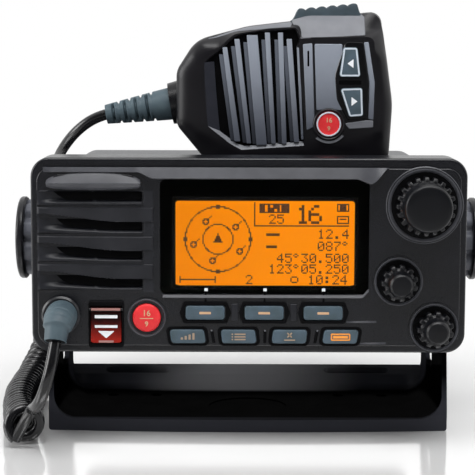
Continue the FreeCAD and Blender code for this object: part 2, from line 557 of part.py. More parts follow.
def make_distress():
    """A spring cover over an alarm key, in a raised frame."""
    head = plate("distress_rim", "frame_wide", "frame_high", "frame_proud - hair",
                 ("frame_x", FRONT + " - frame_proud", UP + "frame_up"), corner="frame_corner", edge="frame_edge")
    neck = plate("distress_neck", "frame_wide - 2 * (neck_side + gap)", "frame_high - 2 * (neck_end + gap)",
                 "face_wall + 2 * skin", ("frame_x", FRONT + " - pocket_deep", UP + "frame_up"))
    body = fuse("distress_body", head, neck)
    pocket = block("distress_pocket", ("cover_wide + 3 * gap", "frame_proud * 4", "cover_high + 3 * gap"),
                   ("frame_x", FRONT + " - pocket_deep - frame_proud * 2", UP + "cover_up"))
    well = block("distress_well", ("alarm_size + 2 * gap", "face_wall * 4", "alarm_size + 2 * gap"),
                 ("frame_x", FRONT, UP + "cover_up - alarm_low"))
    hinge_at = ("frame_x - frame_wide / 2 + pin_end", FRONT + " - frame_proud + skin",
                UP + "cover_up + cover_high / 2 - hinge_radius")
    pin_hole = rod("distress_pin_hole", "pin_radius", "frame_wide - 2 * pin_end", hinge_at, "x")
    piece("distress_frame", cut("distress_frame", body, pocket, well, pin_hole))
    piece("distress_pin", rod("distress_pin", "pin_radius", "frame_wide - 2 * pin_end", hinge_at, "x"))
    leaf = plate("distress_leaf", "cover_wide", "cover_high - 2 * hinge_radius", "cover_thick",
                 ("frame_x", FRONT + " - frame_proud - cover_proud", UP + "cover_up - hinge_radius"),
                 corner="cover_corner", edge="key_edge")
    barrel = rod("distress_barrel", "hinge_radius", "cover_wide - 2 * hinge_end",
                 ("frame_x - cover_wide / 2 + hinge_end", hinge_at[1], hinge_at[2]), "x")
    bridge = block("distress_bridge", ("cover_wide - 2 * hinge_end", "hinge_radius", "hinge_radius * 2"),
                   ("frame_x", FRONT + " - frame_proud - pin_gap",
                    UP + "cover_up + cover_high / 2 - 2.2 * hinge_radius"))
    bore = rod("distress_bore", "pin_radius + pin_gap", "frame_wide", hinge_at, "x")
    piece("distress_cover", cut("distress_cover", fuse("distress_lid", leaf, barrel, bridge), bore))
    alarm = plate("alarm_cap", "alarm_size", "alarm_size", "face_wall - alarm_sunk + flange_thick",
                  ("frame_x", FRONT + " + alarm_sunk", UP + "cover_up - alarm_low"),
                  corner="alarm_corner", edge="alarm_edge")
    back = plate("alarm_back", "alarm_size + flange_rim", "alarm_size + flange_rim", "flange_thick",
                 ("frame_x", FRONT + " + face_wall + skin", UP + "cover_up - alarm_low"), corner="alarm_corner")
    piece("distress_key", fuse("distress_key", alarm, back))


def knob_profile(radius, cap, length):
    """Half section of a knob: open back, toothed skirt, tapered cap; height runs to the back."""
    return [("0", "0"), (f"{cap} - cap_edge", "0"), (cap, "cap_edge"),
            (f"{cap} + cap_taper", f"{length} - skirt_long"),
            (radius, f"{length} - skirt_long + cap_edge / 2"), (radius, length), ("bush_radius + bush_room", length),
            ("bush_radius + bush_room", f"{length} - bush_proud - push_room"),
            ("0", f"{length} - bush_proud - push_room")]


def make_rotary(word, radius, cap, length, teeth):
    """Knob with grip teeth on its shaft. The knob's back stands off the face."""
    across, up = f"{word}_x", UP + f"{word}_up"
    tip = FRONT + f" - knob_gap - push_room - {length}"
    blank = turned(f"{word}_blank", knob_profile(radius, cap, length), (across, tip, up))
    notches = []
    for i in range(teeth):
        turn = 2 * math.pi * i / teeth
        notches.append(rod(f"{word}_notch_{i}", "tooth_radius", "skirt_long + spare",
                           (f"{across} + ({radius} + tooth_out) * {math.cos(turn):.5f}",
                            f"{tip} + {length} - skirt_long + tooth_radius",
                            f"{up} + ({radius} + tooth_out) * {math.sin(turn):.5f}")))
    shaft_at = (across, tip + " + shaft_sunk", up)
    bore = rod(f"{word}_bore", "shaft_radius + shaft_gap", length, shaft_at)
    piece(f"{word}_knob", cut(f"{word}_knob", blank, bore, *notches))
    piece(f"{word}_shaft", rod(f"{word}_shaft", "shaft_radius",
                               f"{length} - shaft_sunk + push_room + knob_gap + face_wall + encoder_deep / 2",
                               (across, tip + " + shaft_sunk + shaft_gap", up)))


def make_encoders():
    """Panel encoders: a body behind the face with a bush through it."""
    parts = []
    for word in ("channel", "volume", "squelch"):
        across, up = f"{word}_x", UP + f"{word}_up"
        case = block(f"{word}_case", ("encoder_size", "encoder_deep + push_room", "encoder_size"),
                     (across, FRONT + " + face_wall + skin + (encoder_deep + push_room) / 2", up))
        bush = rod(f"{word}_bush", "bush_radius", "face_wall + bush_proud + knob_gap",
                   (across, FRONT + " - bush_proud + knob_gap", up))
        bore = rod(f"{word}_encoder_bore", "shaft_radius + skin", "face_wall + encoder_deep + 2 * spare",
                   (across, FRONT + " - bush_proud - skin", up))
        parts.append(cut(f"{word}_encoder", fuse(f"{word}_encoder_solid", case, bush), bore))
    piece("rotary_encoders", group("rotary_encoders", *parts))


def make_panel_inside():
    """Control board, its switches, loudspeaker and position antenna."""
    back = FRONT + " + board_back"
    main = block("board_main", ("board_right - board_left", "board_thick", "board_high"),
                 ("(board_right + board_left) / 2", back + " + board_thick / 2", UP + "0 - board_low"))
    wing_start = "frame_x - wing_side"
    wing = block("board_wing", (f"board_left + spare - ({wing_start})", "board_thick", "wing_high"),
                 (f"(board_left + spare + {wing_start}) / 2", back + " + board_thick / 2",
                  UP + "0 - panel_high / 2 + wing_low + wing_high / 2"))
    piece("control_board", fuse("control_board", main, wing))
    spots = dict(KEY_SPOTS)
    spots["distress_key"] = ("frame_x", "cover_up - alarm_low")
    tall = "board_back - face_wall - flange_thick - switch_room"
    switches = []
    for label, (across, up) in spots.items():
        switches.append(block(f"switch_{label}", ("switch_size", tall, "switch_size"),
                              (across, back + f" - ({tall}) / 2 - hair", UP + up)))
    piece("key_switches", group("key_switches", *switches))
    start = FRONT + " + face_wall + gap"
    basket = turned("speaker_basket", [
        ("speaker_radius - speaker_rim", "0"), ("speaker_radius", "0"), ("speaker_radius", "speaker_lip"),
        ("speaker_radius / 2", "speaker_deep - magnet_deep"), ("speaker_radius / 2", "speaker_deep"),
        ("0", "speaker_deep"), ("0", "cone_deep"), ("speaker_radius / 3", "cone_deep + gap"),
        ("speaker_radius - speaker_rim", "speaker_lip / 2")],
        ("speaker_x", start, UP + "speaker_up"))
    piece("speaker", basket)
    piece("gps_antenna", block("gps_antenna", ("antenna_wide", "antenna_thick", "antenna_high"),
                               ("-hump_x", FRONT + " + face_wall + gap + antenna_thick / 2",
                                UP + "hump_up + antenna_rise")))


def make_front_socket():
    """Collar nut and right-angle rubber boot of the microphone lead."""
    at = ("boot_x", FRONT + " - boot_ring_long", UP + "boot_up")
    collar = turned("collar_nut", [
        ("boot_hole - spigot_wall", "0"), ("boot_ring_radius - ring_bevel", "0"), ("boot_ring_radius", "ring_bevel"),
        ("boot_ring_radius", "boot_ring_long - hair"), ("boot_hole", "boot_ring_long - hair"),
        ("boot_hole", "boot_ring_long + face_wall + spare"),
        ("boot_hole - spigot_wall", "boot_ring_long + face_wall + spare")],
        at)
    piece("boot_ring", collar)
    mouth = Vector(*LEAD_START)
    head_end = Vector(size("boot_x"), size(FRONT + " - boot_ring_long - hair"), size(UP + "boot_up"))
    head = Part.makeCylinder(size("boot_radius"), size("boot_reach"), head_end, Vector(0, -1, 0))
    elbow = head_end + Vector(0, -size("boot_reach"), 0)
    ball = Part.makeSphere(size("boot_radius"), elbow)
    way = mouth.sub(elbow)
    cone = Part.makeCone(size("boot_radius"), size("wire_radius + boot_mouth_wall"), way.Length, elbow, way)
    spigot = Part.makeCylinder(size("boot_hole - spigot_wall - skin"), size("face_wall"), head_end, Vector(0, 1, 0))
    shaped("front_boot", head.fuse([ball, cone, spigot]).removeSplitter())


def make_panel_gasket():
    outer = plate("gasket_outer", "panel_wide - 2 * panel_wall - 2 * gap", "panel_high - 2 * panel_wall - 2 * gap",
                  "gasket_thick", ("0", FRONT + " + seat_deep + hair", UP + "0"), corner="panel_corner - panel_wall")
    inner = plate("gasket_inner", "panel_wide - 2 * seat_wall", "panel_high - 2 * seat_wall", "gasket_thick + spare",
                  ("0", FRONT + " + seat_deep - spare / 2", UP + "0"), corner="hollow_corner")
    holes = [rod(f"gasket_hole_{i}", "screw_radius + screw_gap", "gasket_thick + spare",
                 (f"{side} * post_x", FRONT + " + seat_deep - spare / 2", UP + f"{end} * post_up"))
             for i, (side, end) in enumerate(CORNERS)]
    piece("panel_gasket", cut("panel_gasket", outer, inner, *holes))


# ---------------------------------------------------------------- radio: chassis
CHASSIS_FRONT = FRONT + " + seat_deep + gasket_thick + 2 * hair"


def make_chassis():
    """Cast housing with upright cooling fins across its back."""
    body = plate("chassis_body", "chassis_wide", "chassis_high", f"chassis_back - ({CHASSIS_FRONT})",
                 ("0", CHASSIS_FRONT, UP + "0"), corner="chassis_corner")
    flange = plate("chassis_flange", "panel_wide - 2 * panel_wall - 2 * gap",
                   "panel_high - 2 * panel_wall - 2 * gap", "flange_deep",
                   ("0", CHASSIS_FRONT, UP + "0"), corner="panel_corner - panel_wall")
    hollow = plate("chassis_hollow", "chassis_wide - 2 * chassis_wall", "chassis_high - 2 * chassis_wall",
                   f"hollow_back - ({CHASSIS_FRONT}) + spare",
                   ("0", CHASSIS_FRONT + " - spare", UP + "0"), corner="chassis_corner - chassis_wall")
    posts = []
    wells = []
    for i, (side, end) in enumerate(CORNERS):
        spot = (f"{side} * post_x", UP + f"{end} * post_up")
        posts.append(rod(f"post_{i}", "post_radius", f"chassis_back - fin_deep - ({CHASSIS_FRONT})",
                         (spot[0], CHASSIS_FRONT, spot[1])))
        wells.append(rod(f"well_{i}", "well_radius", "chassis_back - well_stop + spare",
                         (spot[0], "well_stop", spot[1])))
        wells.append(rod(f"shank_{i}", "screw_radius + screw_gap", f"well_stop - ({CHASSIS_FRONT}) + spare",
                         (spot[0], CHASSIS_FRONT + " - spare / 2", spot[1])))
    fins = []
    count = int(size("(chassis_wide / 2 - flat_half - chassis_corner) / fin_pitch"))
    for side in (-1, 1):
        for number in range(count):
            across = f"{side} * (flat_half + fin_gap / 2 + {number} * fin_pitch)"
            fins.append(block(f"fin_gap_{side + 1}_{number}",
                              ("fin_gap", "fin_deep * 2", "chassis_high - 2 * fin_rail"),
                              (across, "chassis_back", UP + "0")))
    ports = [rod("antenna_port", "barrel_radius - barrel_wall", "fin_deep + rear_wall + 2 * spare",
                 ("0", "hollow_back - spare", UP + "antenna_up"))]
    for side in (-1, 1):
        ports.append(rod(f"gland_port_{side + 1}", "gland_radius - gland_step", "fin_deep + rear_wall + 2 * spare",
                         (f"{side} * gland_x", "hollow_back - spare", UP + "0 - gland_low")))
    inserts = []
    for side in (-1, 1):
        inserts.append(rod(f"insert_seat_{side + 1}", "insert_radius + insert_wall", "insert_long",
                           (f"{side} * chassis_wide / 2 - (1 + {side}) / 2 * insert_long", "0", AXIS), "x"))
    bores = [rod(f"insert_bore_{side + 1}", "insert_radius", "insert_long + spare",
                 (f"{side} * (chassis_wide / 2 - insert_long / 2) - insert_long / 2 - spare / 2", "0", AXIS), "x")
             for side in (-1, 1)]
    shell = fuse("chassis_shell", cut("chassis_cast", fuse("chassis_blank", body, flange), hollow, *fins),
                 *posts, *inserts)
    piece("rear_chassis", cut("rear_chassis", shell, *wells, *ports, *bores))


def make_chassis_inside():
    """Main board, output module, antenna socket, cable glands and long case screws."""
    start, end = "(well_stop + main_start)", "(hollow_back - main_end)"
    piece("main_board", block("main_board", ("2 * (post_x - post_radius - main_side)", f"{end} - {start}",
                                             "board_thick"),
                              ("0", f"({start} + {end}) / 2", UP + "0 - main_low")))
    piece("output_module", block("output_module", ("module_wide", "module_deep", "module_high"),
                                 ("module_x", "hollow_back - gap - module_deep / 2",
                                  UP + "0 - main_low + board_thick / 2 + skin + module_high / 2")))
    seat = "fin_deep + rear_wall + spare"
    barrel = "barrel_radius - barrel_wall - skin"
    body = turned("socket_body", [
        ("0", "0"), (barrel, "0"), (barrel, seat + " + hair"), ("socket_flange", seat + " + hair"),
        ("socket_flange", seat + " + socket_thick"), ("barrel_radius", seat + " + socket_thick"),
        ("barrel_radius", seat + " + socket_thick + barrel_long"), ("0", seat + " + socket_thick + barrel_long")],
        ("0", "hollow_back - spare", UP + "antenna_up"))
    piece("antenna_socket", cut("antenna_socket", body, rod(
        "socket_bore", "socket_bore", "barrel_long", ("0", "chassis_back + socket_thick", UP + "antenna_up"))))
    glands = []
    for side in (-1, 1):
        glands.append(turned(f"gland_body_{side + 1}", [
            ("gland_bore", "0"), ("gland_radius - gland_step - skin", "0"),
            ("gland_radius - gland_step - skin", seat + " + hair"),
            ("gland_radius + gland_flange", seat + " + hair"),
            ("gland_radius + gland_flange", seat + " + gland_thick"), ("gland_radius", seat + " + gland_thick"),
            ("gland_bore + gland_wall", seat + " + gland_thick + gland_long"),
            ("gland_bore", seat + " + gland_thick + gland_long")],
            (f"{side} * gland_x", "hollow_back - spare", UP + "0 - gland_low")))
    piece("cable_glands", group("cable_glands", *glands))
    screws = []
    for i, (side, end) in enumerate(CORNERS):
        shank = f"well_stop - ({FRONT} + seat_deep - screw_bite)"
        screws.append(cut(f"case_screw_{i}", turned(f"case_screw_blank_{i}", [
            ("0", "0"), ("screw_radius - hair", "0"), ("screw_radius - hair", shank + " + hair"),
            ("well_radius - head_gap", shank + " + hair"), ("well_radius - head_gap", shank + " + screw_head"),
            ("0", shank + " + screw_head")],
            (f"{side} * post_x", f"{FRONT} + seat_deep - screw_bite", UP + f"{end} * post_up")),
            block(f"case_screw_slot_{i}", ("driver_wide", "screw_head", "driver_long"),
                  (f"{side} * post_x", "well_stop + screw_head", UP + f"{end} * post_up"))))
    piece("case_screws", group("case_screws", *screws))


# ---------------------------------------------------------------- bracket and clamps
def make_bracket():
    """A U channel trimmed by its side view and its bowed plan, with legs either side of a window."""
    inner = "(arm_outer - arm_thick)"
    channel = prism("bracket_channel", [
        ("-arm_outer", "0"), ("arm_outer", "0"), ("arm_outer", "arm_blank"), (inner, "arm_blank"),
        (inner, "base_thick"), ("-" + inner, "base_thick"), ("-" + inner, "arm_blank"),
        ("-arm_outer", "arm_blank")], "bracket_back + bracket_front + 10 * spare",
        ("0", "-bracket_front - 5 * spare", "0"))
    shape = channel.Tip.Shape
    bends = edges_where(shape, lambda p: abs(p.z - size("base_thick")) < 1e-6)
    bends = [n for n in bends if n in edges_along(shape, "y")]
    round_edges(channel, bends, "bracket_bend")
    outer = edges_where(channel.Tip.Shape, lambda p: abs(p.z) < 1e-6)
    outer = [n for n in outer if n in edges_along(channel.Tip.Shape, "y")]
    round_edges(channel, outer, "bracket_edge")
    legs = prism("bracket_side", [
        ("-bracket_front - bracket_bow - spare", "0"), ("-bracket_front - bracket_bow - spare", "base_thick"),
        ("-bracket_front", "base_thick + spare"), ("-boss_radius", "axis_height"), ("boss_radius", "axis_height"),
        ("bracket_back - spare / 2", "ledge_high * 2"), ("bracket_back", "ledge_high"), ("bracket_back", "0")],
        "2 * arm_outer + 4 * spare", ("-arm_outer - 2 * spare", "0", "0"), "side")
    boss = rod("bracket_boss", "boss_radius", "2 * arm_outer + 4 * spare",
               ("-arm_outer - 2 * spare", "0", "axis_height"), "x")
    bow = f"({inner} * {inner} / (2 * bracket_bow))"
    plan = rod("bracket_plan", bow, "arm_blank + spare",
               ("0", f"{bow} - bracket_front - bracket_bow", "-spare / 2"), "z")
    yoke = common("bracket_yoke", channel, fuse("bracket_outline", legs, boss), plan)
    ledge = prism("bracket_ledge", [
        ("ledge_front", "0"), ("ledge_front", "base_thick - 2 * skin"),
        ("ledge_front + ledge_toe", "base_thick + toe_up"), ("ledge_front + ledge_mid", "base_thick + mid_up"),
        ("ledge_front + ledge_top", "base_thick + top_up"), ("bracket_back", "ledge_high"), ("bracket_back", "0")],
        f"2 * {inner} + arm_thick / 2", (f"-{inner} - arm_thick / 4", "0", "0"), "side")
    hollow = prism("bracket_hollow", [
        ("ledge_front + 2 * ledge_toe", "-spare"), ("ledge_front + 2 * ledge_toe", "base_thick - ledge_wall"),
        ("bracket_back - ledge_wall", "ledge_high - 1.5 * ledge_wall"), ("bracket_back - ledge_wall", "-spare")],
        f"2 * ({inner} - ledge_wall)", (f"ledge_wall - {inner}", "0", "0"), "side")
    window = prism("bracket_window", [
        ("arm_window_front", "arm_window_low"), ("arm_window_back", "arm_window_low"),
        ("arm_window_back", "arm_window_step"), ("arm_window_tip", "arm_window_top")],
        "2 * arm_outer + 4 * spare", ("-arm_outer - 2 * spare", "0", "0"), "side")
    round_edges(window, edges_along(window.Tip.Shape, "x"), "arm_window_corner")
    tools = [hollow, window,
             rod("bracket_pivot", "bolt_radius + gap", "2 * arm_outer + 4 * spare",
                 ("-arm_outer - 2 * spare", "0", "axis_height"), "x"),
             rod("bracket_dish", "dish_radius", "dish_deep + spare", ("0", "dish_y", "base_thick - dish_deep"), "z")]
    for side in (-1, 1):
        tools.append(plate(f"bracket_slot_{side + 1}", "slot_long", "slot_across", "ledge_high * 2",
                           (f"{side} * slot_x", "slot_y", "-spare"), corner="slot_across / 2 - hair", facing="top"))
        for word in ("outer", "inner"):
            tools.append(rod(f"bracket_hole_{word}_{side + 1}", "hole_radius", "base_thick + 2 * spare",
                             (f"{side} * hole_{word}_x", "hole_y", "-spare"), "z"))
    piece("bracket", cut("bracket", fuse("bracket_body", yoke, ledge), *tools))


def make_clamps():
    """On each side: threaded insert, rubber pad, washer, bolt and lobed knob."""
    pads = []
    inserts = []
    for side, word in ((-1, "left"), (1, "right")):
        def along(start, length):
            """Start of a part that spans start to start + length from the middle, on this side."""
            return f"{side} * ({start}) - (1 - {side}) / 2 * ({length})"
        pads.append(cut(f"pad_{word}",
                        rod(f"pad_disc_{word}", "pad_radius", "pad_thick",
                            (along("chassis_wide / 2 + pad_clear", "pad_thick"), "0", AXIS), "x"),
                        rod(f"pad_bore_{word}", "insert_radius", "pad_thick + 2 * spare",
                            (along("chassis_wide / 2 - spare", "pad_thick + 2 * spare"), "0", AXIS), "x")))
        inserts.append(cut(f"insert_{word}",
                           rod(f"insert_body_{word}", "insert_radius", "insert_long",
                               (along("chassis_wide / 2 - insert_long", "insert_long"), "0", AXIS), "x"),
                           rod(f"insert_thread_{word}", "bolt_radius", "insert_long + spare",
                               (along("chassis_wide / 2 - insert_long - spare / 2", "insert_long + spare"), "0", AXIS),
                               "x")))
        piece(f"{word}_washer", cut(
            f"{word}_washer",
            rod(f"{word}_washer_disc", "washer_radius", "washer_thick",
                (along("arm_outer + pad_clear", "washer_thick"), "0", AXIS), "x"),
            rod(f"{word}_washer_bore", "bolt_radius + washer_gap", "washer_thick + spare",
                (along("arm_outer - spare / 2", "washer_thick + spare"), "0", AXIS), "x")))
        tip = "chassis_wide / 2 - insert_long + bolt_stop"
        reach = f"arm_outer + washer_thick + knob_bite - ({tip})"
        piece(f"{word}_bolt", rod(f"{word}_bolt", "bolt_radius - bolt_hair", reach,
                                  (along(tip, reach), "0", AXIS), "x"))
        near = "arm_outer + washer_thick + 2 * pad_clear"
        steps = [("0", "0"), ("knob_radius - knob_seat - knob_side_in", "0"),
                 ("knob_radius - knob_side_in", "spare"),
                 ("knob_radius - knob_side_in", "knob_thick - knob_disc - knob_flare"),
                 ("knob_radius", "knob_thick - knob_disc"), ("knob_radius", "knob_thick - knob_dish"),
                 ("knob_radius - knob_dish", "knob_thick"), ("knob_radius - 5 * knob_dish", "knob_thick"),
                 ("knob_radius - 6 * knob_dish", "knob_thick - knob_dish"), ("0", "knob_thick - knob_dish")]
        blank = turned(f"{word}_knob_blank", steps, (f"{side} * ({near})", "0", AXIS),
                       turn=Rotation(Vector(0, 1, 0), side * 90))
        notches = []
        for i in range(int(size("knob_lobes"))):
            turn = 2 * math.pi * i / size("knob_lobes")
            deep = "knob_thick - knob_disc - 2 * skin"
            notches.append(rod(f"{word}_lobe_{i}", "lobe_radius", deep,
                               (along(near + " - 2 * skin", deep),
                                f"(knob_radius + 2 * skin) * {math.cos(turn):.5f}",
                                AXIS + f" + (knob_radius + 2 * skin) * {math.sin(turn):.5f}"), "x"))
        bore = rod(f"{word}_knob_bore", "bolt_radius", "knob_bite + spare / 2",
                   (along(near + " - spare / 2", "knob_bite + spare / 2"), "0", AXIS), "x")
        piece(f"{word}_knob", cut(f"{word}_knob", blank, bore, *notches))
    piece("tilt_pads", group("tilt_pads", *pads))
    piece("clamp_inserts", group("clamp_inserts", *inserts))


# ---------------------------------------------------------------- microphone
# Outline corners seen from the front, from the lead's end rightwards, each with its radius.
MIC_OUTLINE = [
    (("-mic_nape", "-mic_neck_low"), "nape_round"), (("mic_heel", "-mic_foot"), "heel_round"),
    (("mic_long - mic_toe", "-mic_foot"), "toe_round"), (("mic_long - mic_waist", "mic_waist_up"), "side_round"),
    (("mic_long - mic_lean", "mic_top"), "heel_round"),
    (("mic_shoulder_x", "mic_top - mic_shoulder_drop"), "side_round"),
    (("mic_cheek_x", "mic_cheek_z"), "cheek_round"), (("-mic_nape", "mic_neck_high"), "neck_round")]
MIC_SCREWS = (("post_west", "post_west_up"), ("mic_long - post_east", "-post_low"), ("post_south", "-post_low"),
              ("mic_long - post_east", "post_north"))


def mic_outline(inset):
    """The microphone's closed outline moved inwards by an amount, in the XZ plane."""
    points = [mic_spot(across, up, 0) for (across, up), _ in MIC_OUTLINE]
    wire = rounded_path(points, [size(r) for _, r in MIC_OUTLINE], True)
    return wire.makeOffset2D(-inset) if inset else wire


def mic_slab(start, length, inset=0.0):
    """The outline carried backwards from a depth."""
    wire = mic_outline(inset)
    wire.translate(Vector(0, start, 0))
    return Part.Face(wire).extrude(Vector(0, length, 0))


def mic_spot(across, up, depth):
    """A point on the microphone given from its outline's own corner."""
    return Vector(size("mic_x + " + across), depth, size("mic_floor + mic_foot + " + up))


def tilted_box(across, up, wide, high, start, length):
    """A box on the microphone's face, leaning with its artwork."""
    centre = mic_spot(across, up, 0)
    shape = Part.makeBox(size(wide), length, size(high), Vector(-size(wide) / 2, start, -size(high) / 2))
    shape.rotate(Vector(), Vector(0, 1, 0), -size("mic_tilt"))
    shape.translate(centre)
    return shape


def round_far_edges(shape, depth, radius):
    """Fillet the edges that lie at one depth."""
    edges = [e for e in shape.Edges if all(abs(v.Y - depth) < 1e-6 for v in e.Vertexes)]
    return shape.makeFillet(radius, edges)


def make_microphone():
    front, deep, wall = size("mic_front"), size("mic_deep"), size("mic_wall")
    split, seam = front + size("mic_split"), size("mic_seam")
    front_solid = round_far_edges(mic_slab(front, split - front - seam / 2), front, size("mic_round"))
    cavity = mic_slab(front + wall, split - front + 5, wall)
    grille = tilted_box("mic_grille_x", "mic_grille_z", "mic_grille_wide", "mic_grille_high", front - 1,
                        size("mic_face_sink") + 1)
    slots = [tilted_box(f"mic_slot_first + {i} * mic_slot_pitch", f"mic_grille_z + {i} * mic_slot_rise",
                        "mic_slot_wide", "mic_slot_high", front - 1, wall + 3)
             for i in range(6)]
    ptt_hole = Part.makeBox(size("ptt_right - ptt_left + 2 * ptt_gap"), size("ptt_deep + 2 * ptt_gap"),
                            size("ptt_hole_high"),
                            mic_spot("ptt_left - ptt_gap", "mic_top - ptt_hole_drop",
                                     split - size("mic_seam / 2 + ptt_deep + ptt_hole_back")))
    key_holes_front = [
        tilted_box("mic_up_x", "mic_up_z", "mic_key_wide + 2 * mic_key_gap", "mic_key_high + 2 * mic_key_gap",
                   front - 1, wall + 3),
        tilted_box("mic_down_x", "mic_down_z", "mic_key_wide + 2 * mic_key_gap", "mic_key_high + 2 * mic_key_gap",
                   front - 1, wall + 3),
        Part.makeCylinder(size("mic_red_radius + mic_key_gap"), wall + 3,
                          mic_spot("mic_red_x", "mic_red_z", front - 1), Vector(0, 1, 0))]
    gland = Part.makeCylinder(size("mic_boot_tip + 0.6"), 20, mic_spot("-8", "collar_up - 1", split), Vector(1, 0, 0.17))
    bosses = []
    for across, up in MIC_SCREWS:
        bosses.append(Part.makeCylinder(size("mic_boss"), split - front - wall - seam,
                                        mic_spot(across, up, front + wall - 0.5), Vector(0, 1, 0)))
    shell = front_solid.cut(cavity).cut(grille).fuse(bosses).cut(slots + [ptt_hole, gland] + key_holes_front)
    shaped("mic_front_shell", shell)
    rear_solid = mic_slab(split + seam / 2, front + deep - split - seam / 2)
    rear_solid = round_far_edges(rear_solid, front + deep, size("mic_back_round"))
    rear_cavity = mic_slab(split - 5, front + deep - split - wall + 5, wall)
    stud_seat = Part.makeCylinder(size("stud_root"), 10, mic_spot("stud_x", "stud_z", front + deep - 6),
                                  Vector(0, 1, 0))
    screw_holes = []
    screws = []
    for across, up in MIC_SCREWS:
        base = mic_spot(across, up, front + deep - wall)
        screw_holes.append(Part.makeCylinder(size("mic_screw + pad_clear"), wall + 1, base, Vector(0, 1, 0)))
        sunk = base + Vector(0, wall - size("mic_head_sunk"), 0)
        screw_holes.append(Part.makeCylinder(size("mic_screw_head + skin"), 4, sunk, Vector(0, 1, 0)))
        shank = Part.makeCylinder(size("mic_screw"), size("mic_screw_long"), base + Vector(0, -4, 0), Vector(0, 1, 0))
        head = Part.makeCylinder(size("mic_screw_head"), size("mic_head_thick"), sunk, Vector(0, 1, 0))
        screws.append(shank.fuse(head).removeSplitter())
    shaped("mic_rear_shell", rear_solid.cut(rear_cavity).cut(screw_holes + [stud_seat, gland, ptt_hole]))
    shaped("mic_screws", Part.makeCompound(screws))
    seal = mic_slab(split - seam / 2 + 0.02, seam - 0.04, 0.5).cut(mic_slab(split - 1, 2, wall))
    shaped("mic_seal", seal.cut([ptt_hole, gland]))
    board = Part.makeBox(size("mic_long - mic_board_in - mic_board_end"), size("board_thick"), size("mic_board_high"),
                         mic_spot("mic_board_in", "-mic_board_low", front + size("mic_board_deep")))
    shaped("mic_board", board)
    radius, cone_deep = size("mic_cone_radius"), size("mic_cone_deep")
    cone_at = mic_spot("mic_cone_x", "mic_cone_z", front + wall + size("mic_key_lap"))
    cone = Part.makeCone(radius, radius / 2, cone_deep, cone_at, Vector(0, 1, 0))
    magnet = Part.makeCylinder(radius / 2, size("mic_magnet_deep"), cone_at + Vector(0, cone_deep, 0), Vector(0, 1, 0))
    shaped("mic_speaker", cone.fuse(magnet).removeSplitter())
    make_mic_keys(front, wall)
    make_ptt(split)
    make_mic_cable_end(split)
    stud_at = mic_spot("stud_x", "stud_z", front + deep + size("hair"))
    neck_long = size("stud_long - stud_head")
    neck = Part.makeCylinder(size("stud_radius / 2"), neck_long, stud_at, Vector(0, 1, 0))
    button = Part.makeCylinder(size("stud_radius"), size("stud_head"), stud_at + Vector(0, neck_long, 0),
                               Vector(0, 1, 0))
    button = button.makeFillet(size("stud_edge"), [e for e in button.Edges if len(e.Vertexes) == 1])
    root = Part.makeCylinder(size("stud_root - hair"), 4, stud_at + Vector(0, -4, 0), Vector(0, 1, 0))
    shaped("hanger_stud", neck.fuse([button, root]).removeSplitter())


def make_mic_keys(front, wall):
    """Two channel keys and a round call key in the microphone's face."""
    proud = size("mic_key_proud")
    for word in ("up", "down"):
        label, across, up = f"mic_{word}_key", f"mic_{word}_x", f"mic_{word}_z"
        cap = tilted_box(across, up, "mic_key_wide", "mic_key_high", front - proud, wall + proud + 0.6)
        cap = round_far_edges(cap, front - proud, size("mic_key_edge"))
        back = tilted_box(across, up, "mic_key_wide + 2 * mic_key_lap", "mic_key_high + 2 * mic_key_lap",
                          front + wall + size("skin"), size("flange_thick"))
        shaped(label, cap.fuse(back).removeSplitter())
    spot = mic_spot("mic_red_x", "mic_red_z", front - proud)
    cap = Part.makeCylinder(size("mic_red_radius"), wall + proud + 0.6, spot, Vector(0, 1, 0))
    cap = cap.makeFillet(0.6, [cap.Edges[i] for i in range(3) if len(cap.Edges[i].Vertexes) == 1
                               and abs(cap.Edges[i].Vertexes[0].Y - spot.y) < 1e-6])
    back = Part.makeCylinder(size("mic_red_radius + mic_red_lap"), size("flange_thick"),
                             mic_spot("mic_red_x", "mic_red_z", front + wall + 0.1), Vector(0, 1, 0))
    shaped("mic_red_key", cap.fuse(back).removeSplitter())


def make_ptt(split):
    """Press-to-talk bar along the microphone's upper edge, with ribbed top."""
    left, right, proud = size("ptt_left"), size("ptt_right"), size("ptt_proud")
    base = (size("mic_top - ptt_drop"), size("mic_top - ptt_drop_end"))
    foot, lip = size("ptt_foot"), size("ptt_lip")
    points = [(left, base[0] - foot), (right, base[1] - foot), (right, base[1] + lip)]
    bumps = 5
    for i in range(bumps, 0, -1):
        a = left + (right - left) * (0.1 + 0.8 * (i - 0.15) / bumps)
        b = left + (right - left) * (0.1 + 0.8 * (i - 0.85) / bumps)
        rise = (base[1] - base[0]) / (right - left)
        points.append((a, base[0] + rise * (a - left) + proud))
        points.append((b, base[0] + rise * (b - left) + proud))
        if i > 1:
            dip = left + (right - left) * (0.1 + 0.8 * (i - 1) / bumps)
            points.append((dip, base[0] + rise * (dip - left) + proud - size("ptt_dip")))
    points.append((left, base[0] + lip))
    corners = [mic_spot(f"{x}", f"{z}", split - size("mic_seam / 2 + ptt_deep + ptt_back")) for x, z in points]
    face = Part.Face(Part.makePolygon(corners + [corners[0]]))
    shaped("ptt_bar", face.extrude(Vector(0, size("ptt_deep"), 0)))


def mic_lead_way():
    """Unit direction in which the lead leaves the microphone."""
    slope = math.radians(size("mic_boot_slope"))
    return Vector(-math.cos(slope), 0, -math.sin(slope))


def mic_collar_start():
    """Centre of the face where the collar meets the microphone."""
    return mic_spot("collar_in", "collar_up", size("mic_front + mic_split"))


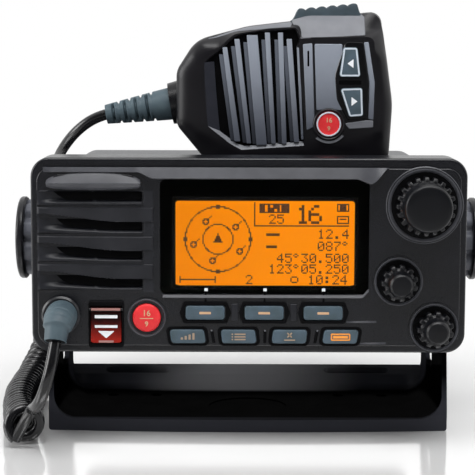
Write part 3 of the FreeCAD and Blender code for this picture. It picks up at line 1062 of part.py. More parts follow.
def make_mic_cable_end(split):
    """Collar and ribbed rubber boot at the microphone's end."""
    way, start = mic_lead_way(), mic_collar_start()
    collar = Part.makeCone(size("collar_radius"), size("collar_radius - collar_taper"), size("collar_long"),
                           start, way)
    spigot = Part.makeCylinder(size("mic_boot_tip + 0.4"), 6, start - way * 5.9, way)
    collar = collar.fuse(spigot).removeSplitter().cut(mic_slab(split - 30, 60, 0.0).cut(
        mic_slab(split - 31, 62, size("mic_wall + 0.1"))))
    collar = max(collar.Solids, key=lambda s: s.Volume)
    shaped("mic_collar", collar)
    base = start + way * size("collar_long + hair")
    length = size("mic_boot_long")
    boot = Part.makeCone(size("mic_boot_radius"), size("mic_boot_tip"), length, base, way)
    ribs = []
    for i in range(5):
        along = length * (0.16 + 0.165 * i)
        radius = size("mic_boot_radius") + (size("mic_boot_tip") - size("mic_boot_radius")) * along / length
        outer = Part.makeCylinder(radius + 2, size("boot_groove"), base + way * along, way)
        inner = Part.makeCylinder(radius - size("boot_groove_deep"), 3 * size("boot_groove"),
                                  base + way * (along - size("boot_groove")), way)
        ribs.append(outer.cut(inner))
    shaped("mic_boot", boot.cut(ribs))


# ---------------------------------------------------------------- cords
# The front lead runs from the panel's boot to the lower end of the curly cord.
LEAD_START = (-78.5, -74.6, 46.1)
FRONT_LEAD = [
    LEAD_START, (-79.454, -80.197, 35.5), (-84.3, -82.5, 22.9), (-89.774, -74.0, 10.597), (-93.0, -60.0, 9.5)]
# The curly cord goes back along the table and rises behind the radio.
CURLY_CORD = [
    (-93.0, -60.0, 9.5), (-98.0, -38.3, 7.8), (-102.0, -14.0, 7.9), (-104.0, 14.0, 7.8), (-103.5, 40.0, 8.6),
    (-100.5, 60.0, 14.5), (-95.5, 71.0, 30.0), (-92.5, 70.0, 50.5), (-92.0, 66.0, 70.0), (-92.0, 60.0, 86.0)]
# The microphone's lead falls from its boot to the upper end of the curly cord.
MIC_LEAD = [
    None, (-67.6, -6.0, 136.01), (-77.0, -3.0, 129.0), (-83.8, 6.0, 121.0), (-87.6, 19.0, 115.0),
    (-90.5, 37.0, 110.0), (-92.0, 55.5, 98.0), (-92.0, 60.0, 86.0)]


def cord_tube(label, points, radius):
    """A tube along straight runs joined by tangent arcs, each as large as its runs allow."""
    spots = [Vector(*p) for p in points]
    radii = [0.0]
    for i in range(1, len(spots) - 1):
        back, ahead = spots[i].sub(spots[i - 1]), spots[i + 1].sub(spots[i])
        radii.append(0.45 * min(back.Length, ahead.Length) / math.tan(back.getAngle(ahead) / 2))
    radii.append(0.0)
    path = rounded_path(spots, radii, False)
    start = Part.Wire(Part.makeCircle(radius, spots[0], spots[1].sub(spots[0])))
    tube = path.makePipeShell([start], True, False)
    expected = math.pi * radius * radius * path.Length
    print(label, "length", round(path.Length, 1), "smallest arc", round(min(radii[1:-1]), 1),
          "volume share", round(tube.Volume / expected, 4))
    shaped(label, tube)


def make_cords():
    way = mic_lead_way()
    mouth = mic_collar_start() + way * size("collar_long + mic_boot_long + 2 * hair")
    MIC_LEAD[0] = tuple(mouth)
    cord_tube("front_lead", FRONT_LEAD, size("wire_radius"))
    cord_tube("curly_cord", CURLY_CORD, size("coil_radius"))
    cord_tube("mic_lead", MIC_LEAD, size("wire_radius"))
    print("mic lead starts", [round(c, 2) for c in mouth])


# ---------------------------------------------------------------- whole radio
def make_all():
    make_front_panel()
    make_display()
    make_keys()
    make_distress()
    make_rotary("channel", "channel_radius", "channel_cap", "channel_long", 20)
    make_rotary("volume", "small_radius", "small_cap", "small_long", 12)
    make_rotary("squelch", "small_radius", "small_cap", "small_long", 12)
    make_encoders()
    make_panel_inside()
    make_front_socket()
    make_panel_gasket()
    make_chassis()
    make_chassis_inside()
    make_bracket()
    make_clamps()
    make_microphone()
    make_cords()


make_all()
doc.recompute()
failed = [o.Name for o in doc.Objects if "Invalid" in o.State or "Error" in o.State]
if failed:
    raise RuntimeError(f"these objects failed: {failed}")
os.makedirs("parts", exist_ok=True)
for label, item in PIECES.items():
    if item.Shape.isNull() or not item.Shape.isValid() or not item.Shape.Solids:
        raise RuntimeError(f"{label} has no valid solid")
for label, item in PIECES.items():
    item.Shape.exportStep(f"parts/{label}.step")
print(len(PIECES), "sub-parts written")
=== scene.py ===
import json
import math

import bmesh
import bpy
import numpy as np
from mathutils import Matrix, Vector

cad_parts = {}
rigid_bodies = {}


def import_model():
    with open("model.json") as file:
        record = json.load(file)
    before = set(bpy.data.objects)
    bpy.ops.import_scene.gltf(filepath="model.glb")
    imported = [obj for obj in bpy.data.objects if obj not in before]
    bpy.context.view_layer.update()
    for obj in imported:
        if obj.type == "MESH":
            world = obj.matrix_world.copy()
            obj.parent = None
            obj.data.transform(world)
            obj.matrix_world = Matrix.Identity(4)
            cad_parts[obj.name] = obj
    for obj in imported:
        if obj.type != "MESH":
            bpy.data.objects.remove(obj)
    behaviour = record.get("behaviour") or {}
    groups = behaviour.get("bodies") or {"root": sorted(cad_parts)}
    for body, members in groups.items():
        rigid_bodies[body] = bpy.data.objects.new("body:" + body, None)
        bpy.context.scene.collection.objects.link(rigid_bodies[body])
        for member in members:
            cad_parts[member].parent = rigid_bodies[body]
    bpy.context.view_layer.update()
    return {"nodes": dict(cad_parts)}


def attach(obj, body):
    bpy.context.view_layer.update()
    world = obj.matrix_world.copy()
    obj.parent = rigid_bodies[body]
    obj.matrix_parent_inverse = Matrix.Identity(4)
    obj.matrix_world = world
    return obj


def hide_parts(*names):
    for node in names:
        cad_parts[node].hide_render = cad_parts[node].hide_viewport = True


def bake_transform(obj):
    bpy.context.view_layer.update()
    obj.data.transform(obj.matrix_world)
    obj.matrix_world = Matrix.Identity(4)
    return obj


bl_info = {
    "name": "Fixed-mount marine radio",
    "version": (1, 0, 0),
    "blender": (4, 5, 0),
    "location": "3D View > Sidebar > Marine radio",
    "description": "Builds the finishes, mouldings, display and cords of a marine radio on its solid model",
    "category": "Object",
}

for leftover in list(bpy.data.objects):
    bpy.data.objects.remove(leftover)
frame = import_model()

MM = 0.001                                       # metres in a millimetre

# Places and sizes are in millimetres. Those on the panel are measured from the tilt axis and the face.
AXIS = 81.3                                      # height of the tilt axis
FACE = -60.0                                     # depth of the panel's face
SUNK = FACE + 0.2                                # back of the pieces that stand on the face
KEY_FRONT = FACE - 1.35                          # front of the keys' caps
LENS_FRONT = -59.62                              # front of the display's window
GLASS_FRONT = -57.92                             # front of the display's glass
RED_KEY = (-42.2, -26.3)
KNOBS = {"channel": (72.2, 20.7), "volume": (61.9, -10.9), "squelch": (76.9, -30.2)}
CLAMP_SEAT = 88.6                                # from the middle out to a clamp knob's seat
MIC_X, MIC_Z = -30.5, 141.4                      # origin of the microphone's own measures
MIC_PLACE = np.array([MIC_X, 0.0, MIC_Z])
MIC_FRONT = -24.0                                # depth of the microphone's face
MIC_RED_KEY = (65.0, -7.8)
MOUTH = (-77.9, -79.2, 48.4)                     # where the lead leaves the panel's boot
INK = 0.13                                       # thickness of a printed mark on a key, drawn to show


# ---------------------------------------------------------------- colours and finishes
def linear(code):
    """An sRGB hex colour as linear red, green, blue and alpha."""
    parts = np.array([int(code[i:i + 2], 16) / 255 for i in (1, 3, 5)])
    parts = np.where(parts <= 0.04045, parts / 12.92, ((parts + 0.055) / 1.055) ** 2.4)
    return (*[float(p) for p in parts], 1.0)


def put(tree, kind, sockets=(), **settings):
    """Add a node, apply its settings, and fill its sockets with values or other nodes' outputs."""
    made = tree.nodes.new("ShaderNode" + kind)
    for key, value in settings.items():
        setattr(made, key, value)
    for key, value in dict(sockets).items():
        if isinstance(value, bpy.types.NodeSocket):
            tree.links.new(value, made.inputs[key])
        else:
            made.inputs[key].default_value = value
    return made


def new_material(name):
    """An empty node material, its tree, and the object's own places, which its patterns are drawn from."""
    made = bpy.data.materials.new(name)
    made.use_nodes = True
    made.node_tree.nodes.clear()
    return made, made.node_tree, put(made.node_tree, "TexCoord").outputs["Object"]


def closed(made, shader):
    """The material with its last shader joined to an output."""
    put(made.node_tree, "OutputMaterial", {"Surface": shader.outputs[0]})
    return made


def moulded(name, colour, second, rough, grain, bump, patch, depth=0.03, spread=0.1, shine=0.3, **sockets):
    """A moulded or cast surface: a fine grain of a size in mm, which also varies the roughness by a
    spread, and slow patches, in mm, of a second tone. Shine is the specular level: 0.5 would be plain
    plastic, and most finishes have less, chosen to keep the blacks deep."""
    made, tree, place = new_material(name)
    fine = put(tree, "TexNoise",
               {"Vector": place, "Scale": 1 / (grain * MM), "Detail": 3.0, "Roughness": 0.6})
    slow = put(tree, "TexNoise", {"Vector": place, "Scale": 1 / (patch * MM), "Detail": 2.0})
    tone = put(tree, "MapRange", {"Value": slow.outputs["Fac"], "From Min": 0.35, "From Max": 0.65})
    paint = put(tree, "Mix", {"Factor": tone.outputs["Result"]}, data_type="RGBA")
    for key, value in (("A", linear(colour)), ("B", linear(second))):
        [s for s in paint.inputs if s.name == key and s.type == "RGBA"][0].default_value = value
    mixed = [s for s in paint.outputs if s.type == "RGBA"][0]
    gloss = put(tree, "MapRange", {"Value": fine.outputs["Fac"], "From Min": 0.3, "From Max": 0.7,
                                   "To Min": rough - spread / 2, "To Max": rough + spread / 2})
    relief = put(tree, "Bump", {"Height": fine.outputs["Fac"], "Strength": bump, "Distance": depth * MM})
    shader = put(tree, "BsdfPrincipled", {"Base Color": mixed, "Roughness": gloss.outputs["Result"],
                                          "Specular IOR Level": shine, "Normal": relief.outputs["Normal"],
                                          **sockets})
    return closed(made, shader)


def machined(name, colour, rough):
    """Metal with fine tool marks: noise drawn out along one way, the marks 2.5 mm apart so that they show."""
    made, tree, place = new_material(name)
    turned = put(tree, "Mapping", {"Vector": place, "Scale": (1.0, 1.0, 12.0)})
    marks = put(tree, "TexNoise", {"Vector": turned.outputs["Vector"], "Scale": 1 / (2.5 * MM),
                                   "Detail": 4.0})
    gloss = put(tree, "MapRange", {"Value": marks.outputs["Fac"], "From Min": 0.3, "From Max": 0.7,
                                   "To Min": rough - 0.08, "To Max": rough + 0.1})
    relief = put(tree, "Bump", {"Height": marks.outputs["Fac"], "Strength": 0.15, "Distance": 0.02 * MM})
    shader = put(tree, "BsdfPrincipled", {"Base Color": linear(colour), "Metallic": 1.0,
                                          "Roughness": gloss.outputs["Result"],
                                          "Normal": relief.outputs["Normal"]})
    return closed(made, shader)


def printed(name, colour, rough=0.45):
    """Pad-printed ink: thin, slightly uneven in cover, satin."""
    made, tree, place = new_material(name)
    cover = put(tree, "TexNoise", {"Vector": place, "Scale": 1 / (0.7 * MM), "Detail": 2.0})
    gloss = put(tree, "MapRange", {"Value": cover.outputs["Fac"], "To Min": rough - 0.1,
                                   "To Max": rough + 0.1})
    return closed(made, put(tree, "BsdfPrincipled", {"Base Color": linear(colour),
                                                     "Roughness": gloss.outputs["Result"]}))


def colour_along(tree, place, way, low, high, first, last, grain, detail, blur):
    """A colour that changes from first to last between two places along X or Z, in mm. The change is
    shifted by noise of a grain in mm, times a blur in metres."""
    parts = put(tree, "SeparateXYZ", {"Vector": place})
    cloud = put(tree, "TexNoise", {"Vector": place, "Scale": 1 / (grain * MM), "Detail": detail})
    shifted = put(tree, "Math", {0: cloud.outputs["Fac"], 1: blur, 2: parts.outputs[way]},
                  operation="MULTIPLY_ADD")
    fall = put(tree, "MapRange", {"Value": shifted.outputs["Value"], "From Min": low * MM,
                                  "From Max": high * MM},
               interpolation_type="SMOOTHSTEP")
    ramp = put(tree, "ValToRGB", {"Fac": fall.outputs["Result"]})
    for stop, colour in zip(ramp.color_ramp.elements, (first, last)):
        stop.color = linear(colour)
    return ramp.outputs["Color"]


def backlit_glass(name, bright, dim, low, high):
    """Display glass over an orange light guide, dimmer to its left edge. It has next to no sheen, less
    than real glass, so that only the window in front of it reflects."""
    made, tree, place = new_material(name)
    glow = colour_along(tree, place, "X", low, high, dim, bright, 12.0, 1.0, 0.012)
    return closed(made, put(tree, "BsdfPrincipled", {"Base Color": linear("#150700"), "Roughness": 0.3,
                                                     "Emission Color": glow, "Emission Strength": 1.0,
                                                     "Specular IOR Level": 0.02}))


def graded(name, top, bottom, low, high, rough, shine=0.2):
    """Plastic whose colour changes from one height to another. It stands for light from above, and
    stays as it is however the part is lit."""
    made, tree, place = new_material(name)
    paint = colour_along(tree, place, "Z", low, high, bottom, top, 3.0, 2.0, 0.003)
    return closed(made, put(tree, "BsdfPrincipled", {"Base Color": paint, "Roughness": rough,
                                                     "Specular IOR Level": shine}))


def dull_black(name, colour, painted_lit_tone, sheen=0.003, rough=0.12):
    """Near-black nylon: plain diffuse, with the same faint sheen however flat it is seen. The front rim
    and the rear ledge, outside the polished floor, are painted a paler grey: painted light. The floor's
    near-black is partly the nylon's own and partly painted shade under the radio. The ledge's middle has
    a paler tone still, a painted soft reflection, which stays however the part is lit."""
    made, tree, place = new_material(name)
    cloud = put(tree, "TexNoise", {"Vector": place, "Scale": 1 / (9 * MM), "Detail": 3.0})
    share = put(tree, "MapRange", {"Value": cloud.outputs["Fac"], "To Min": 0.6 * sheen,
                                   "To Max": 1.4 * sheen})
    half_deep, ledge_middle, reach = 0.04, (0.0, 0.042, 0.012), 0.058          # metres
    # painted light and shade along the depth: the paler tone at the front rim and the rear ledge, the
    # near-black on the floor under the radio
    deep = put(tree, "SeparateXYZ", {"Vector": place}).outputs["Y"]
    along = put(tree, "MapRange", {"Value": deep, "From Min": -half_deep, "From Max": half_deep})
    ramp = put(tree, "ValToRGB", {"Fac": along.outputs["Result"]})
    stops = ramp.color_ramp.elements
    for stop, spot in zip(stops, (0.135, 0.93)):
        stop.position, stop.color = spot, linear(painted_lit_tone)
    for spot in (0.16, 0.84):
        stops.new(spot).color = linear(colour)
    apart = put(tree, "VectorMath", {0: place, 1: ledge_middle}, operation="DISTANCE")
    near = put(tree, "MapRange", {"Value": apart.outputs["Value"], "From Min": reach, "From Max": 0.004},
               interpolation_type="SMOOTHSTEP")
    behind = put(tree, "MapRange", {"Value": deep, "From Min": 0.024, "From Max": 0.029})
    paler = put(tree, "Math", {0: near.outputs["Result"], 1: behind.outputs["Result"]}, operation="MULTIPLY")
    dark = put(tree, "BsdfDiffuse", {"Color": ramp.outputs["Color"]})
    pale = put(tree, "BsdfDiffuse", {"Color": linear("#c2c2c6")})
    body = put(tree, "MixShader", {0: paler.outputs["Value"], 1: dark.outputs["BSDF"],
                                   2: pale.outputs["BSDF"]})
    shine = put(tree, "BsdfGlossy", {"Roughness": rough})
    return closed(made, put(tree, "MixShader", {0: share.outputs["Result"], 1: body.outputs["Shader"],
                                                2: shine.outputs["BSDF"]}))


def clear_acrylic(name, colour, rough, ior):
    """Cast acrylic: clear through its thickness, with a faint surface waviness. Bare acrylic has an
    index of 1.49; a lower one stands for an anti-glare coat."""
    made, tree, place = new_material(name)
    wave = put(tree, "TexNoise", {"Vector": place, "Scale": 1 / (14 * MM)})
    relief = put(tree, "Bump", {"Height": wave.outputs["Fac"], "Strength": 0.02, "Distance": 0.02 * MM})
    return closed(made, put(tree, "BsdfPrincipled", {"Base Color": linear(colour), "Roughness": rough,
                                                     "IOR": ior, "Transmission Weight": 1.0,
                                                     "Normal": relief.outputs["Normal"]}))


FINISHES = {}


# ---------------------------------------------------------------- shapes, in millimetres
def unit(vectors):
    """Vectors divided by their own length."""
    vectors = np.asarray(vectors, float)
    return vectors / np.linalg.norm(vectors, axis=-1, keepdims=True)


def smooth(low, high, value):
    """0 below low, 1 above high, and 3t^2 - 2t^3 in between."""
    t = np.clip((value - low) / (high - low), 0, 1)
    return t * t * (3 - 2 * t)


def quads(rows, cols, around):
    """Corner numbers of the quads of a grid of rows x cols points, whose columns may close round."""
    i, j = np.meshgrid(np.arange(rows - 1), np.arange(cols if around else cols - 1), indexing="ij")
    i, j, k = i.ravel(), j.ravel(), (j.ravel() + 1) % cols
    return np.stack([i * cols + j, i * cols + k, (i + 1) * cols + k, (i + 1) * cols + j], 1).tolist()


def loft(rings, ends=True):
    """Closed rings of equal count joined one to the next, and a flat face over each end."""
    rings = np.asarray(rings, float)
    rows, cols = rings.shape[:2]
    faces = quads(rows, cols, True)
    if ends:
        faces += [list(range(cols))[::-1], list(range((rows - 1) * cols, rows * cols))]
    return rings.reshape(-1, 3), faces


def hoop(rings):
    """Closed rings of equal count joined one to the next, and the last to the first."""
    rings = np.asarray(rings, float)
    rows, cols = rings.shape[:2]
    return rings.reshape(-1, 3), [[v % (rows * cols) for v in f] for f in quads(rows + 1, cols, True)]


def rounded(corners, radii, steps=7):
    """A closed outline whose corners are arcs tangent to both sides: the arc's middle lies on the
    corner's bisector, at radius / sin(half angle) from the corner."""
    p = np.asarray(corners, float)
    r = np.broadcast_to(np.asarray(radii, float), (len(p),))
    back, ahead = unit(np.roll(p, 1, 0) - p), unit(np.roll(p, -1, 0) - p)
    half = np.arccos(np.clip((back * ahead).sum(1), -1, 1)) / 2
    middle = p + unit(back + ahead) * (r / np.sin(half))[:, None]
    start = p + back * (r / np.tan(half))[:, None] - middle
    turn = -np.sign(back[:, 0] * ahead[:, 1] - back[:, 1] * ahead[:, 0]) * (math.pi - 2 * half)
    a = turn[:, None] * np.linspace(0, 1, steps)[None, :]
    x = start[:, :1] * np.cos(a) - start[:, 1:] * np.sin(a)
    y = start[:, :1] * np.sin(a) + start[:, 1:] * np.cos(a)
    return (middle[:, None, :] + np.stack([x, y], -1)).reshape(-1, 2)


def box_outline(x, z, wide, high, radius, lean=0.0, steps=6):
    """A rounded rectangle about (x, z) whose top is shifted sideways by lean."""
    w, h = wide / 2, high / 2
    return rounded([(x - w - lean / 2, z - h), (x + w - lean / 2, z - h), (x + w + lean / 2, z + h),
                    (x - w + lean / 2, z + h)], radius, steps)


def inset(outline, by):
    """The outline moved inwards: each point along the mean of its two sides' normals, mitred."""
    before, after = unit(outline - np.roll(outline, 1, 0)), unit(np.roll(outline, -1, 0) - outline)
    mean = before + after
    size = np.linalg.norm(mean, axis=1, keepdims=True)
    normal = np.column_stack([-mean[:, 1], mean[:, 0]]) / size
    return outline + normal * by * 2 / np.maximum(size, 0.8)


def standing(outline, depth):
    """A flat outline in x and z placed at a depth."""
    return np.column_stack([outline[:, 0], np.broadcast_to(depth, len(outline)), outline[:, 1]])


def slab(outline, levels):
    """An outline carried through levels of (inset, depth), closed at both ends."""
    return loft([standing(inset(outline, by) if by else outline, depth) for by, depth in levels])


def cushion(outline, back, front, edge=0.5, crown=0.0):
    """A key-like slab with a quarter-round front edge, and a crown of outlines drawn in to the middle."""
    t = np.linspace(0, 1, 5) * math.pi / 2
    rings = [standing(outline, back)]
    rings += [standing(inset(outline, edge * (1 - math.cos(a))), front + edge * (1 - math.sin(a))) for a in t]
    middle = outline.mean(0)
    for share, lift in ((0.88, 0.45), (0.7, 0.75), (0.45, 0.95), (0.1, 1.0)):
        rings.append(standing(middle + (inset(outline, edge) - middle) * share, front - crown * lift))
    return loft(rings)


def skin(grid, back):
    """A grid of front points closed by a second one behind it: at one depth, or a thickness deeper."""
    rear = grid[::-1].copy()
    rear[..., 1] = back(rear[..., 1]) if callable(back) else back
    return loft(np.concatenate([grid, rear]).transpose(1, 0, 2))


def ramp_strip(x, top, bottom, proud):
    """A strip whose front leans out from its upper edge to its lower one, then turns back in.
    top, bottom and proud may vary with x."""
    top, bottom, proud = (np.broadcast_to(np.asarray(v, float), x.shape) for v in (top, bottom, proud))
    t = np.array([0.0, 0.06, 0.5, 0.9, 0.97, 1.0])[:, None]
    out = np.array([0.03, 0.1, 0.56, 0.98, 0.85, 0.1])[:, None]
    z = top + (bottom - top) * t
    grid = np.stack([np.broadcast_to(x, z.shape), FACE - proud * out, z + AXIS], -1)
    return skin(grid, FACE + 0.35)


def window_frame(outer, inner, centre, back, front, bevel=0.0):
    """A flat ring between two closed outlines, each sampled at one set of angles about a centre."""
    steps = np.linspace(-math.pi, math.pi, 240, endpoint=False)
    o, i = around(outer, centre, steps), around(inner, centre, steps)
    return hoop([standing(o, back), standing(o, front + bevel), standing(o + (i - o) * 0.12, front),
                 standing(i, front), standing(i, back)])


def flat_ring(outer, inner, back, front):
    """A flat ring between two outlines of equal count."""
    return hoop([standing(outer, front), standing(inner, front), standing(inner, back),
                 standing(outer, back)])


def angles_round(sides):
    return np.arange(sides) * 2 * math.pi / sides


def circle_about(axis, sides):
    """Angles round an axis, the points of a unit circle at those angles, and the axis's unit vector."""
    axis = unit(np.asarray(axis, float))
    helper = np.array([0.0, 0, 1]) if abs(axis[2]) < 0.9 else np.array([1.0, 0, 0])
    first = unit(np.cross(helper, axis))
    a = angles_round(sides)
    return a, np.cos(a)[:, None] * first + np.sin(a)[:, None] * np.cross(axis, first), axis


def lathe(profile, centre, axis, sides=72, ripple=0.0):
    """A profile of (radius, height, share) turned about an axis. The radius at an angle is the
    profile's plus share times the ripple at that angle."""
    rows = np.asarray([tuple(p) + (0.0,) * (3 - len(p)) for p in profile], float)
    a, ring, way = circle_about(axis, sides)
    wave = np.broadcast_to(ripple(a) if callable(ripple) else ripple, a.shape)
    radius = rows[:, :1] + rows[:, 2:] * wave[None, :]
    return loft(np.asarray(centre, float) + radius[..., None] * ring + rows[:, 1, None, None] * way)


def hollow_lathe(profile, centre, axis, sides):
    """A closed profile of (radius, height) turned about an axis: a ring without ends."""
    rows = np.asarray(profile, float)
    ring, way = circle_about(axis, sides)[1:]
    return hoop(np.asarray(centre, float) + rows[:, 0, None, None] * ring + rows[:, 1, None, None] * way)


def tube(path, radius, sides=14, across=(1.0, 0.0, 0.0)):
    """Circles of a radius that may vary, set square to a path: each circle's plane is spanned by the
    path's direction crossed with a side way, and by that crossed with the direction."""
    path = np.asarray(path, float)
    way = unit(np.gradient(path, axis=0))
    first = unit(np.cross(way, np.broadcast_to(np.asarray(across, float), path.shape)))
    second = np.cross(way, first)
    a = angles_round(sides)[None, :, None]
    r = np.broadcast_to(np.asarray(radius, float), (len(path),))[:, None, None]
    return loft(path[:, None, :] + r * (np.cos(a) * first[:, None, :] + np.sin(a) * second[:, None, :]))


def relief(x, z, depth, back):
    """A front surface of depths on a grid of x and z, walled round its border to a flat back."""
    rows, cols = depth.shape
    front = np.stack(np.broadcast_arrays(x[None, :], depth, z[:, None]), -1).reshape(-1, 3)
    faces = quads(rows, cols, False)
    border = np.concatenate([np.arange(cols), np.arange(1, rows) * cols + cols - 1,
                             (rows - 1) * cols + np.arange(cols - 2, -1, -1),
                             np.arange(rows - 2, 0, -1) * cols])
    rear = front[border].copy()
    rear[:, 1] = back
    count, first = len(border), rows * cols
    turn = np.arange(count)
    faces += np.stack([border, first + turn, first + (turn + 1) % count, border[(turn + 1) % count]],
                      1).tolist()
    faces += [list(range(first, first + count))]
    return np.concatenate([front, rear]), faces


def turned_about(shape, centre, degrees):
    """A shape leaned in the x-z plane about a point."""
    points, faces = shape
    c, s = math.cos(math.radians(degrees)), math.sin(math.radians(degrees))
    x, z = points[:, 0] - centre[0], points[:, 2] - centre[1]
    return np.column_stack([centre[0] + c * x - s * z, points[:, 1], centre[1] + s * x + c * z]), faces


def drawn(curve):
    """The points and faces that a curve makes. The curve itself is taken away again."""
    holder = bpy.data.objects.new(curve.name, curve)
    bpy.context.scene.collection.objects.link(holder)
    mesh = bpy.data.meshes.new_from_object(holder.evaluated_get(bpy.context.evaluated_depsgraph_get()))
    points = np.array([v.co for v in mesh.vertices], float).reshape(-1, 3)
    faces = [list(p.vertices) for p in mesh.polygons]
    bpy.data.objects.remove(holder)
    bpy.data.meshes.remove(mesh)
    bpy.data.curves.remove(curve)
    return points, faces


def numerals(text, height, x, z, front, thick=0.08, bold=0.0):
    """Figures in the built-in face, centred on a point and standing on the face towards the front."""
    curve = bpy.data.curves.new("figures", "FONT")
    curve.body, curve.size, curve.extrude, curve.offset = text, height, thick / 2, bold
    curve.align_x, curve.align_y, curve.resolution_u = "CENTER", "CENTER", 3
    points, faces = drawn(curve)
    return np.column_stack([points[:, 0] + x, front + thick / 2 - points[:, 2], points[:, 1] + z]), faces


def piece(name, shapes, finish, body=None, replaces=(), sharp=38.0):
    """One object of one or more closed shapes, in metres, facing outwards, riding on a body."""
    shapes = shapes if isinstance(shapes, list) else [shapes]
    points, faces, start = [], [], 0
    for some, more in shapes:
        points.append(some)
        faces += [[v + start for v in f] for f in more]
        start += len(some)
    mesh = bpy.data.meshes.new(name)
    mesh.from_pydata((np.concatenate(points) * MM).tolist(), [], faces)
    work = bmesh.new()
    work.from_mesh(mesh)
    bmesh.ops.recalc_face_normals(work, faces=work.faces)
    work.to_mesh(mesh)
    work.free()
    mesh.shade_smooth()
    mesh.set_sharp_from_angle(angle=math.radians(sharp))
    made = bpy.data.objects.new(name, mesh)
    bpy.context.scene.collection.objects.link(made)
    mesh.materials.append(FINISHES[finish])
    if body:
        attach(made, body)
    if replaces:
        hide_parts(*replaces)
    return made


def spline_line(points, count):
    """Evenly spaced points on the NURBS spline that a route's points control, in millimetres."""
    curve = bpy.data.curves.new("route", "CURVE")
    curve.dimensions = "3D"
    curve.resolution_u = 24
    spline = curve.splines.new("NURBS")
    spline.points.add(len(points) - 1)
    spline.points.foreach_set("co", np.column_stack([np.asarray(points, float),
                                                     np.ones(len(points))]).ravel())
    spline.order_u = 3
    spline.use_endpoint_u = True
    line = drawn(curve)[0]
    way = np.concatenate([[0], np.cumsum(np.linalg.norm(np.diff(line, axis=0), axis=1))])
    even = np.linspace(0, way[-1], count)
    return np.column_stack([np.interp(even, way, line[:, k]) for k in range(3)])


def line_length(path):
    return float(np.linalg.norm(np.diff(path, axis=0), axis=1).sum())


def on_mic(outline):
    """An outline given on the microphone's face, moved to its place."""
    return np.asarray(outline, float) + np.array([MIC_X, MIC_Z])


def around(outline, centre, angles):
    """A closed outline sampled at the given angles about a centre."""
    ahead = np.roll(outline, -1, 0) - outline
    dense = np.concatenate([outline + ahead * t for t in np.linspace(0, 1, 60, endpoint=False)])
    rel = dense - np.asarray(centre)
    a, r = np.arctan2(rel[:, 1], rel[:, 0]), np.linalg.norm(rel, axis=1)
    order = np.argsort(a)
    r = np.interp(angles, a[order], r[order], period=2 * math.pi)
    return np.column_stack([centre[0] + r * np.cos(angles), centre[1] + r * np.sin(angles)])


# ---------------------------------------------------------------- settings
def length_prop(name, text, default):
    """A length in metres with its default given in millimetres."""
    return bpy.props.FloatProperty(name=name, description=text, default=default * MM, unit="LENGTH",
                                   precision=5)


def colour_prop(name, text, default):
    return bpy.props.StringProperty(name=name, description=text, default=default)


class RadioColours(bpy.types.PropertyGroup):
    """sRGB hex colours of the mouldings, rubbers and display."""
    panel: colour_prop("Panel", "Black moulded panel", "#0f1016")
    panel_second: colour_prop("Panel, second tone", "Slow tone variation of the panel", "#0b0c11")
    rubber: colour_prop("Key rubber", "Blue-grey silicone of keys and boots", "#4a5a66")
    red: colour_prop("Call key", "Red silicone key", "#e23438")
    label: colour_prop("Labels", "Peach-orange print on the keys", "#c9a27e")
    display: colour_prop("Display", "Backlight of the display", "#fb8f0a")
    display_dim: colour_prop("Display edge", "Backlight at its dimmer edge", "#ee8508")
    dots: colour_prop("Display dots", "Dark dots of the display", "#2b1405")


class RadioSizes(bpy.types.PropertyGroup):
    """Sizes of the new pieces that a user would change."""
    wire: length_prop("Wire", "Diameter of the microphone wire", 4.8)
    coil: length_prop("Coil", "Mean radius of the curly cord's turns", 5.35)
    pitch: length_prop("Pitch", "Distance from turn to turn of the curly cord", 5.05)
    bar_proud: length_prop("Grille bars", "How far the grille's bars stand out of the panel", 0.9)


class RadioStudio(bpy.types.PropertyGroup):
    """Camera and lamps."""
    camera: bpy.props.FloatVectorProperty(
        name="Camera", description="Place of the camera", subtype="XYZ", unit="LENGTH",
        default=(-0.00384, -0.700, 0.1646))
    lens: bpy.props.FloatProperty(name="Lens", description="Focal length for a 36 mm sensor", default=118.6,
                                  unit="CAMERA")
    down: bpy.props.FloatProperty(name="Down", description="Angle by which the camera looks down",
                                  default=0.1183, subtype="ANGLE")
    yaw: bpy.props.FloatProperty(name="Yaw", description="Angle by which it looks to the right",
                                 default=-0.0013, subtype="ANGLE")
    roll: bpy.props.FloatProperty(name="Roll", description="Angle by which it leans", default=0.0027,
                                  subtype="ANGLE")
    key: bpy.props.FloatProperty(name="Key lamp", description="Power of the large lamp overhead", default=9.0,
                                 unit="POWER")
    fill: bpy.props.FloatProperty(name="Fill lamp", description="Power of the lamp at the left", default=4.2,
                                  unit="POWER")
    room: bpy.props.FloatProperty(name="Room light", description="Strength of the even light all round",
                                  default=0.4)


def settings():
    return bpy.context.scene.marine_radio


class RadioSettings(bpy.types.PropertyGroup):
    """All settings of the radio."""
    colours: bpy.props.PointerProperty(type=RadioColours, name="Colours", description="Colours of the radio")
    sizes: bpy.props.PointerProperty(type=RadioSizes, name="Sizes", description="Sizes of new pieces")
    studio: bpy.props.PointerProperty(type=RadioStudio, name="Studio", description="Camera and lamps")


class RadioOperator:
    """What the radio's operators share."""
    bl_options = {"REGISTER", "UNDO"}


